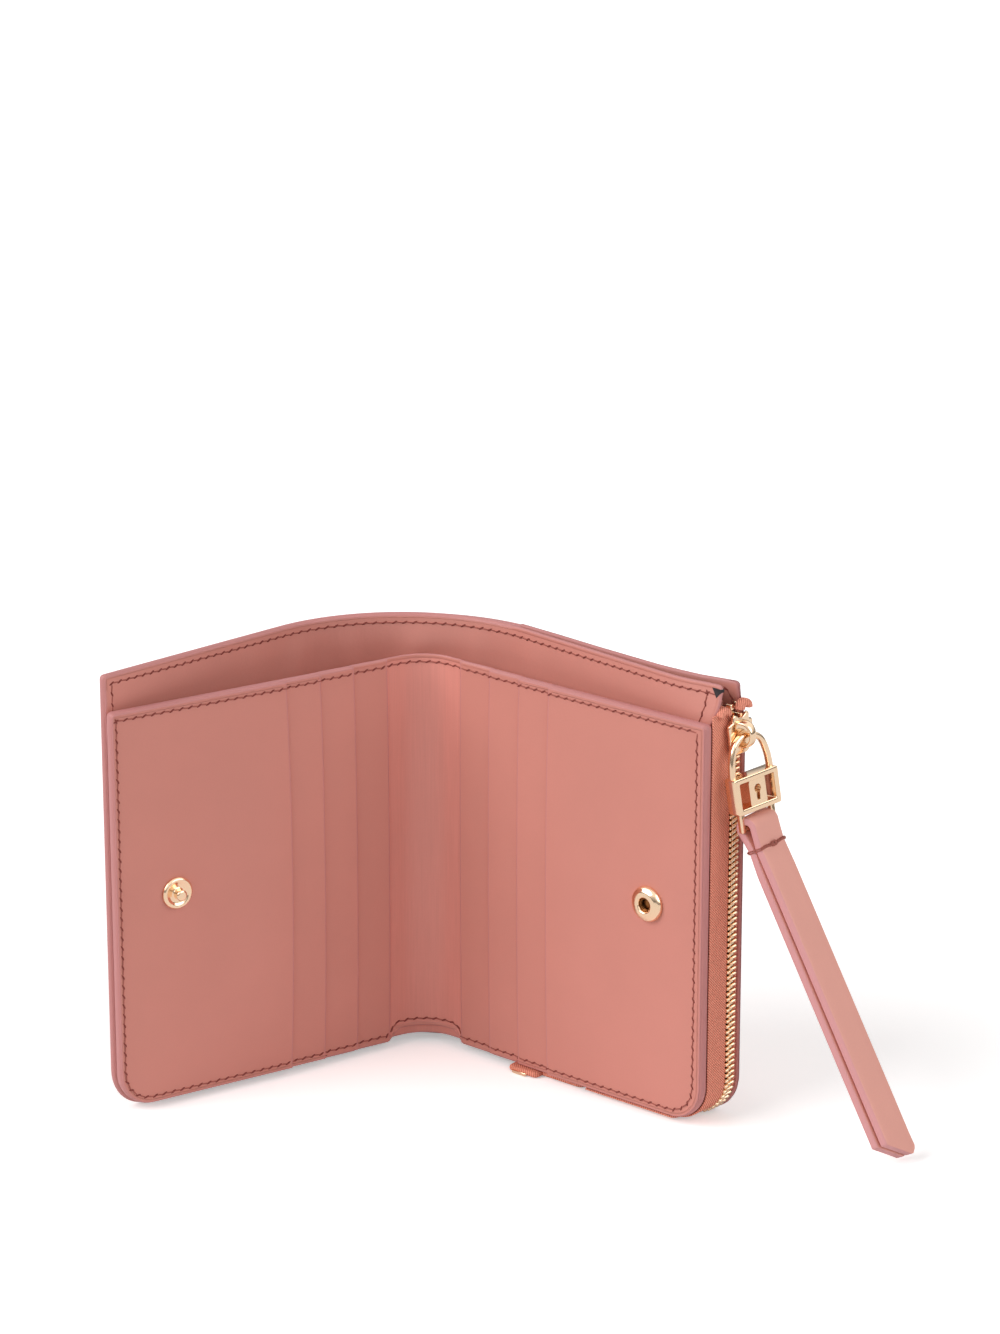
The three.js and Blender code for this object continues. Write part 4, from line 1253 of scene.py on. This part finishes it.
def tape(name, near, far, ribs):
    """A strip of tape along the chain. near and far give its edges, ribs the height of its cord."""
    t = np.concatenate([np.arange(0, 84, 2.0), np.arange(84, CHAIN_LENGTH, 0.8), [CHAIN_LENGTH]])
    tt, vv = np.meshgrid(t, spread(0, 1, 0.12, 0.06))
    low, high = near(tt), far(tt)
    y = low + (high - low) * vv
    edge_gap = np.minimum(vv, 1 - vv) * np.abs(high - low)
    lip = corner_inset(edge_gap, TAPE_THICK / 2)
    cord = ribs * np.exp(-(((np.abs(y - low) - 0.5) / 0.4) ** 2))
    faces_at, grain = [], []
    for layer, sign in enumerate((1, -1)):
        x, z = chain_frame(tt, sign * (TAPE_THICK / 2 - lip + cord))
        faces_at.append(outer.place(x, y, z).reshape(-1, 3))
        grain.append(np.stack([y, -tt, np.full_like(y, layer)], axis=-1).reshape(-1, 3))
    faces = closed_faces(*tt.shape)
    return mesh_object(name, np.concatenate(faces_at), faces, tape_cloth, np.concatenate(grain))


def pocket_face(t):
    """Where the coin pocket's inner wall stands, at a distance down the chain."""
    z = chain_frame(t)[1]
    wall = -POCKET_DEPTH - INNER_WALL - SEAT_GAP - 0.25
    front = -POCKET_DEPTH - INNER_WALL - 1.9
    under = np.clip((STACK_BOTTOM - 0.25 - 0.25 - z) / 0.1, 0, 1)
    return wall + (front - wall) * under


piece = tape("zip_tape_inner_web", lambda t: t * 0 - CHAIN_CENTRE - TAPE_EDGE + 0.25, pocket_face, 0.14)
belongs(piece, RIGHT, "zip_tape", "zip_tape_inner")
piece = tape(
    "zip_tape_outer_web", lambda t: t * 0 - CHAIN_CENTRE + TAPE_EDGE - 0.25, lambda t: t * 0 - 0.05, 0.1
)
belongs(piece, with_wall, "zip_tape", "zip_tape_outer")

# a tooth's sections: how far they reach across the chain, and half their length and height
TOOTH_SECTIONS = (
    (1.62, 0.2, 0.7), (1.5, 0.36, 0.95), (0.95, 0.4, 0.98), (0.5, 0.29, 0.86), (-0.05, 0.27, 0.84),
    (-0.42, 0.3, 0.84), (-0.56, 0.16, 0.6),
)
TOOTH_BOW = 0.22


def tooth_row(name, direction, first):
    """Cast teeth, each wrapped round the tape's cord and reaching between its neighbours."""
    solid = Solid(chain_place)
    start = TAPE_TOP - TOOTH_TOP
    for i in range(int((CHAIN_LENGTH - start) / TOOTH_PITCH)):
        at = start + first + i * TOOTH_PITCH
        rings = []
        for reach, half, high in TOOTH_SECTIONS:
            bow = TOOTH_BOW * (1 - (reach - 0.5) / 1.1) * 0.5 * direction
            ring = []
            for a in turns(10):
                down = half * math.cos(a) ** 3 * 0.35 + half * 0.75 * squared(math.cos(a), 0.5)
                up = high * squared(math.sin(a), 0.6)
                ring.append((at + down + bow, direction * reach - CHAIN_CENTRE, up))
            rings.append(ring)
        solid.rings(rings)
    return solid.piece(name, gold_metal)


piece = tooth_row("zip_teeth_inner_row", -1, TOOTH_PITCH * 0.75)
belongs(piece, RIGHT, "gold_metal", "zip_teeth_inner")
piece = tooth_row("zip_teeth_outer_row", 1, TOOTH_PITCH * 0.25)
belongs(piece, with_wall, "gold_metal", "zip_teeth_outer")


def zip_place(p):
    return outer.place(p[0], p[1], p[2])


STOP_BOTTOM, STOP_TOP = TAPE_TOP + 0.2, TAPE_TOP + 1.6
for word, low, high, body in (("inner", -4.5, -3.3, RIGHT), ("outer", -1.75, -0.7, WALL)):
    solid = Solid(zip_place)
    solid.slab(rounded(1.6, high - low, 0.35, (-1.0, (low + high) / 2)), STOP_BOTTOM, STOP_TOP, 0.25, axis=2)
    belongs(solid.piece(f"top_stop_{word}", gold_metal), body, "gold_metal", f"zip_top_stop_{word}")


LOOP_THICK = 0.85


def tape_loop(name, centre, outside, low, high, bottom):
    """The tape's end folded over: a thick soft arch."""
    solid = Solid(zip_place)
    rings = []
    for a in np.radians(np.linspace(0, 180, 20)):
        ring = []
        for b in turns(16):
            r = outside - LOOP_THICK + LOOP_THICK * 0.98 * squared(math.cos(b), 0.6)
            x = (low + high) / 2 + (high - low) / 2 * squared(math.sin(b), 0.7)
            ring.append((x, centre + r * math.cos(a), bottom + r * math.sin(a)))
        rings.append(ring)
    solid.rings(rings)
    return solid.piece(name, tape_cloth)


piece = tape_loop("tape_loop_inner", -6.3, 2.05, -3.2, 0.35, STOP_BOTTOM - 0.7)
belongs(piece, RIGHT, "zip_tape", "zip_tape_fold_inner")
piece = tape_loop("tape_loop_outer", -1.5, 2.2, -0.2, 2.1, STOP_TOP - 1.0)
belongs(piece, WALL, "zip_tape", "zip_tape_fold_outer")

TAB_END = -CHAIN_END - 21.9
TAB_FRONT = -13.0
solid = Solid(zip_place)
stop_middle = -CHAIN_END - 1.3
solid.slab(rounded(2.0, 3.1, 0.5, (stop_middle, -2.5)), 0.05, 2.0, 0.4, axis=2, steps=4)
solid.slab(rounded(4.2, 0.7, 0.3, (TAB_END + 3.6, TAB_FRONT)), 0.06, 0.95, 0.25, axis=2, steps=4)
belongs(solid.piece("bottom_stop", gold_metal), RIGHT, "gold_metal", "zip_bottom_stop")
solid = Solid(zip_place)
solid.slab(rounded(18.0, 10.2, 1.8, (stop_middle - 9.2, -5.6)), 0.25, 1.5, 0.55, axis=2, steps=4)
solid.slab(rounded(8.6, 7.0, 1.2, (TAB_END + 4.3, TAB_FRONT + 3.5)), 0.2, 1.56, 0.6, axis=2, steps=5)
belongs(solid.piece("tape_end_tab", tape_cloth), RIGHT, "zip_tape", "zip_end_tab")

# ---- slider ----

SLIDER_TOP = SLIDER_BOTTOM + SLIDER_LENGTH
BRIDGE_CENTRE = SLIDER_BOTTOM + SLIDER_LENGTH / 2
CROWN_HALF = [
    (2.2, 0.0), (2.9, 0.3), (3.3, 1.1), (3.5, 2.6), (3.75, 4.6), (4.05, 6.0), (4.1, 7.0), (3.6, 7.5),
    (2.9, 7.6), (2.7, 8.0), (2.75, 8.8), (2.3, 9.3), (1.5, 9.1), (0.9, 8.6), (0.4, 8.4),
]
BRIDGE_HALF = [(0.9, 2.55), (2.0, 2.65), (3.3, 2.2), (4.1, 1.1)]
BRIDGE = [*BRIDGE_HALF, (4.3, 0.0), *((x, -z) for x, z in BRIDGE_HALF[::-1])]
crown = [(y - CHAIN_CENTRE, SLIDER_BOTTOM + z) for y, z in CROWN_HALF]
crown += [(-y - CHAIN_CENTRE, SLIDER_BOTTOM + z) for y, z in CROWN_HALF[::-1]]
solid = Solid(zip_place)
solid.slab(crown, 0.2, 1.15, 0.3, axis=0, steps=4)
solid.slab(rounded(4.8, 9.0, 1.2, (-3.2, SLIDER_BOTTOM + 4.7)), -3.05, -2.15, 0.25, axis=0)
for y in (-4.6, -0.75):
    solid.slab(rounded(0.55, 7.0, 0.2, (y, SLIDER_BOTTOM + 4.3)), -0.35, 0.35, 0.12, axis=0)
solid.slab(rounded(0.8, 2.0, 0.3, (-1.4, SLIDER_TOP - 1.4)), -2.4, 0.4, 0.15, axis=0)
route = smooth_route([(x, -CHAIN_CENTRE, BRIDGE_CENTRE + z) for x, z in BRIDGE], 28)
solid.bar(route, (0, 1, 0), lambda t: 1.0 + 0.75 * abs(2 * t - 1) ** 2, 0.42, (0.7, 0.8), 14)
belongs(solid.piece("slider_body", gold_metal), SLIDER, "gold_metal", "zip_slider_body")

# ---- padlock pull: y along its hinge, z up, x outwards ----

HANG_ANGLE = math.radians(8)
HINGE = np.array((2.4, -CHAIN_CENTRE, BRIDGE_CENTRE))
BAR_DROP = -20.5
LOCK_TURN, LOCK_ROLL = math.radians(-10), math.radians(3)
LOCK_WIDTH, LOCK_HEIGHT, LOCK_THICK, LOCK_TOP = 12.7, 8.3, 3.5, -8.5
FRAME_WIDTH = 1.3
STRAP_LENGTH = 79.4
STRAP_WIDTH, STRAP_INSIDE, STRAP_OUTSIDE = 8.9, 0.9, 2.8
STRAP_TIP, STRAP_POINT = 4.6, 2.4
STRAP_TURN, STRAP_SWAY = math.radians(-3), math.radians(5.1)


def swing(p, angle):
    """Turned about the y axis so that what hangs below moves outwards."""
    c, s = math.cos(angle), math.sin(angle)
    return np.array((p[0] * c - p[2] * s, p[1], p[0] * s + p[2] * c))


def spun(p, angle):
    """Turned about its own upright line."""
    c, s = math.cos(angle), math.sin(angle)
    return np.array((p[0] * c - p[1] * s, p[0] * s + p[1] * c, p[2]))


def rolled(p):
    """Tipped a little about the line through the slider, so that it hangs askew."""
    c, s = math.cos(LOCK_ROLL), math.sin(LOCK_ROLL)
    return np.array((p[0], p[1] * c - p[2] * s, p[1] * s + p[2] * c))


def pull_place(p):
    return zip_place(HINGE + swing(rolled(spun(np.asarray(p, float), LOCK_TURN)), HANG_ANGLE))


half_legs = [(4.0, -2.0), (5.15, -5.2), (5.45, -7.6), (5.5, LOCK_TOP - 0.2)]
knots = [(-y, z) for y, z in half_legs[::-1]] + [(-2.3, -0.55), (0, 0), (2.3, -0.55)] + half_legs
solid = Solid(pull_place)
route = smooth_route([(0, y, z) for y, z in knots], 56)
solid.bar(route, (1, 0, 0), lambda t: 0.82, 0.7, (0.75, 0.75), 16)
belongs(solid.piece("shackle", gold_metal), PULL, "gold_metal", "padlock_shackle")

middle = LOCK_TOP - LOCK_HEIGHT / 2
thick = LOCK_THICK / 2
outline = rounded(LOCK_WIDTH, LOCK_HEIGHT, 0.55, (0, middle))
hole = rounded(LOCK_WIDTH - 2 * FRAME_WIDTH, LOCK_HEIGHT - 2 * FRAME_WIDTH, 0.25, (0, middle))
solid = Solid(pull_place)
solid.ring_slab(outline, hole, -thick, thick, 0.22, axis=0, steps=4)
belongs(solid.piece("lock_body", gold_metal), PULL, "gold_metal", "padlock_body")


def keyhole_loops(panel_width, panel_height, eye, slot_half, slot_drop):
    """A panel's outline and the keyhole in it, point for point at the same angles."""
    outline, hole = [], []
    for a in turns(40):
        y, z = math.cos(a), math.sin(a)
        reach = min(panel_width / 2 / max(abs(y), TINY), panel_height / 2 / max(abs(z), TINY))
        outline.append((reach * y, middle + reach * z))
        slot = min(slot_half / max(abs(y), TINY), slot_drop / max(-z, TINY)) if z < -0.3 else 0
        reach = max(eye, slot)
        hole.append((reach * y, middle + 0.7 + reach * z))
    return outline, hole


solid = Solid(pull_place)
panel, keyhole = keyhole_loops(4.8, LOCK_HEIGHT - 2.2, 0.95, 0.5, 2.6)
solid.ring_slab(panel, keyhole, -thick + 0.15, thick - 0.15, 0.05, axis=0, steps=2)
belongs(solid.piece("lock_keyhole_panel", gold_metal, soft=False), PULL, "gold_metal")

solid = Solid(pull_place)
low_leg, high_leg = BAR_DROP - 0.7, LOCK_TOP - LOCK_HEIGHT + 0.1
for side in (-1, 1):
    leg = rounded(1.25, high_leg - low_leg, 0.3, (side * 4.5, (low_leg + high_leg) / 2))
    solid.slab(leg, -0.68, 0.68, 0.25, axis=0)
solid.tube([(0, y, BAR_DROP) for y in np.linspace(-4.6, 4.6, 8)], 0.6)
belongs(solid.piece("strap_loop", gold_metal), PULL, "gold_metal", "padlock_strap_loop")

# ---- strap ----

bar_height = HINGE[2] + BAR_DROP * math.cos(HANG_ANGLE) - 0.05
STRAP_LEAN = math.acos(bar_height / math.hypot(STRAP_LENGTH, STRAP_OUTSIDE))
STRAP_LEAN += math.atan2(STRAP_OUTSIDE, STRAP_LENGTH)


def strap_place(p):
    """The strap hangs from the bar and is turned a little about its own length."""
    bar = HINGE + swing(rolled(np.array((0, 0, BAR_DROP))), HANG_ANGLE)
    return zip_place(bar + spun(swing(spun(np.asarray(p, float), STRAP_TURN), STRAP_LEAN), STRAP_SWAY))


TIP_STEPS = np.array((0, 0.06, 0.15, 0.3, 0.45, 0.6, 0.8, 1, 1.1, 1.3))
TACK_HEIGHT = -5.0


def pinch(z):
    """The two layers are drawn together at the bar tack and lie nearly flat below it."""
    heights = (-STRAP_LENGTH, -40, -12, TACK_HEIGHT - 1.2, TACK_HEIGHT, TACK_HEIGHT + 2.5, 0)
    return float(np.interp(z, heights, (0.16, 0.12, 0.1, 0.08, 0.05, 0.5, 1.0)))


def strap():
    """One strip from its front tip up, over the bar and down behind, as a row of rounded sections."""
    thick = (STRAP_OUTSIDE - STRAP_INSIDE) / 2
    bend = (STRAP_OUTSIDE + STRAP_INSIDE) / 2
    tip = -STRAP_LENGTH + STRAP_TIP * TIP_STEPS
    downs = np.concatenate([tip, np.linspace(-STRAP_LENGTH + 9, -8, 26), np.linspace(-7, -0.5, 10)])
    sections = []

    def layer_section(side, z):
        layer = thick + 0.1 * float(smooth((-z - 4) / 8))
        aside = -0.35 * float(smooth((-z - 5) / 6)) if side < 0 else 0.0
        above = z + STRAP_LENGTH
        left = np.interp(above, (0, STRAP_TIP), (STRAP_POINT, -STRAP_WIDTH / 2))
        right = np.interp(above, (0, 1.0), (STRAP_POINT + 0.4, STRAP_WIDTH / 2))
        centre = np.array((side * (layer + STRAP_INSIDE * pinch(z)), aside + (left + right) / 2, z))
        sections.append((centre, np.array((side, 0, 0)), (right - left) / 2, layer, z, side))

    for z in downs:
        layer_section(1, z)
    for a in np.radians(np.linspace(0, 180, 17)):
        normal = np.array((math.cos(a), 0, math.sin(a)))
        sections.append((bend * normal, normal, STRAP_WIDTH / 2, thick, 3 + a, 0))
    for z in downs[::-1]:
        layer_section(-1, z)
    solid = Solid(strap_place)
    rings, grain, edge = [], [], []
    for centre, normal, half, layer, travel, side in sections:
        ring = []
        for a in turns(28):
            across, up = squared(math.cos(a), 0.2), squared(math.sin(a), 0.3)
            ring.append(centre + np.array((0, half * across, 0)) + normal * layer * up)
            edge.append(min(1.0, max(0.0, (abs(across) - 0.93) / 0.05)) * (1.0 if abs(up) < 0.97 else 0.3))
            grain.append((centre[1] + half * across, travel, side))
        rings.append(ring)
    solid.rings(rings)
    solid.local = grain
    return solid.piece("strap_leather", leather_strap, edge)


belongs(strap(), STRAP, "strap_leather", "strap")

TACK_THREAD = 0.15
TACK_TURNS = 5.0
solid = Solid(strap_place)
reach = STRAP_OUTSIDE - STRAP_INSIDE + 0.12
for sign in (1, -1):
    for strand in range(3):
        points = []
        for u in np.linspace(0, 1, 60):
            turn = 2 * np.pi * (TACK_TURNS * u + strand / 3)
            swell = 0.2 + 0.16 * math.exp(-(((u - 0.5) / 0.08) ** 2))
            points.append((
                sign * (reach + swell * math.cos(turn)),
                (u - 0.5) * (STRAP_WIDTH + 0.1),
                TACK_HEIGHT + swell * 1.3 * math.sin(turn) + 0.12 * math.sin(9 * u),
            ))
        solid.tube(points, TACK_THREAD, 8)
    for lean in (0.5, -0.6):
        knot = []
        for a in turns(20):
            height = TACK_HEIGHT + 0.42 * math.sin(a) + lean * 0.5 * math.cos(a)
            knot.append((sign * (reach + 0.3), 0.75 * math.cos(a), height))
        solid.tube(knot, 0.14, 8, closed=True)
for y in (-1, 1):
    for dz in (-0.25, 0.2):
        points = [(x, y * (STRAP_WIDTH / 2 + 0.02), TACK_HEIGHT + dz) for x in np.linspace(-reach, reach, 6)]
        solid.tube(points, TACK_THREAD, 8)
belongs(solid.piece("strap_bar_tack", seam_thread), STRAP, "thread", "strap_tack_seam")

# ---- floor, light and camera ----

FLOOR_SIZE = 4.0
FLOOR_COLOUR = (0.95, 0.945, 0.945, 1)
FLOOR_GLOW = 0.38  # seen by the camera only
SOFT_LIGHT = 0.34
WHITE = (1, 1, 1, 1)


def stage_material():
    s = Shader(bpy.data.materials.new("floor_paper"))
    s.surface("Base Color", FLOOR_COLOUR, "Roughness", 1.0, "Specular IOR Level", 0.0)
    rays = s.add("ShaderNodeLightPath")
    glow = s.add("ShaderNodeEmission", Color=WHITE)
    s.feed(glow, "Strength", s.math("MULTIPLY", rays.outputs["Is Camera Ray"], FLOOR_GLOW))
    both = s.add("ShaderNodeAddShader")
    s.feed(both, 0, s.nodes["Principled BSDF"].outputs[0], 1, glow.outputs[0])
    s.feed(s.nodes["Material Output"], "Surface", both.outputs[0])
    return s.owner


mesh = bpy.data.meshes.new("floor")
corners = [(x * FLOOR_SIZE, y * FLOOR_SIZE, 0) for x, y in ((-1, -1), (1, -1), (1, 1), (-1, 1))]
mesh.from_pydata(corners, [], [(0, 1, 2, 3)])
mesh.materials.append(stage_material())
floor = bpy.data.objects.new("floor", mesh)
bpy.context.scene.collection.objects.link(floor)

world = bpy.data.worlds.new("studio")
bpy.context.scene.world = world
s = Shader(world)
rays = s.add("ShaderNodeLightPath")
# metal mirrors a darker band near the floor and brighter walls above it
split = s.add("ShaderNodeSeparateXYZ")
s.feed(split, 0, s.add("ShaderNodeTexCoord").outputs["Generated"])
height = s.add("ShaderNodeMapRange", From_Min=0.02, From_Max=0.5, To_Min=-0.22, To_Max=0.75)
s.feed(height, "Value", split.outputs["Z"])
strength = s.math("MULTIPLY_ADD", rays.outputs["Is Glossy Ray"], height.outputs[0], SOFT_LIGHT)
s.feed(s.nodes["Background"], "Color", (1.0, 0.99, 0.98, 1), "Strength", strength)
white = s.add("ShaderNodeBackground", Color=WHITE, Strength=1.0)
seen = s.add("ShaderNodeMixShader")
s.feed(seen, 0, rays.outputs["Is Camera Ray"], 1, s.nodes["Background"].outputs[0], 2, white.outputs[0])
s.feed(s.nodes["World Output"], "Surface", seen.outputs[0])


def side_light(name, place, strength, softness):
    """A large soft light, far off in the direction of place."""
    data = bpy.data.lights.new(name, "SUN")
    data.energy, data.angle = strength, math.radians(softness)
    light = bpy.data.objects.new(name, data)
    light.rotation_euler = (-Vector(place)).to_track_quat("-Z", "Y").to_euler()
    bpy.context.scene.collection.objects.link(light)


side_light("left_softbox", (-1.0, -0.42, 0.75), 2.12, 45)
side_light("right_softbox", (0.9, -0.5, 0.7), 1.1, 50)

CAMERA_LENS = 116.04
CAMERA_PLACE = (-0.00008, -0.89876, 0.3862)
CAMERA_TILT = 72.5
camera_data = bpy.data.cameras.new("camera")
camera_data.lens = CAMERA_LENS
camera = bpy.data.objects.new("camera", camera_data)
camera.location = CAMERA_PLACE
camera.rotation_euler = (math.radians(CAMERA_TILT), 0, 0)
bpy.context.scene.collection.objects.link(camera)
bpy.context.scene.camera = camera
bpy.context.scene.view_settings.view_transform = "Standard"
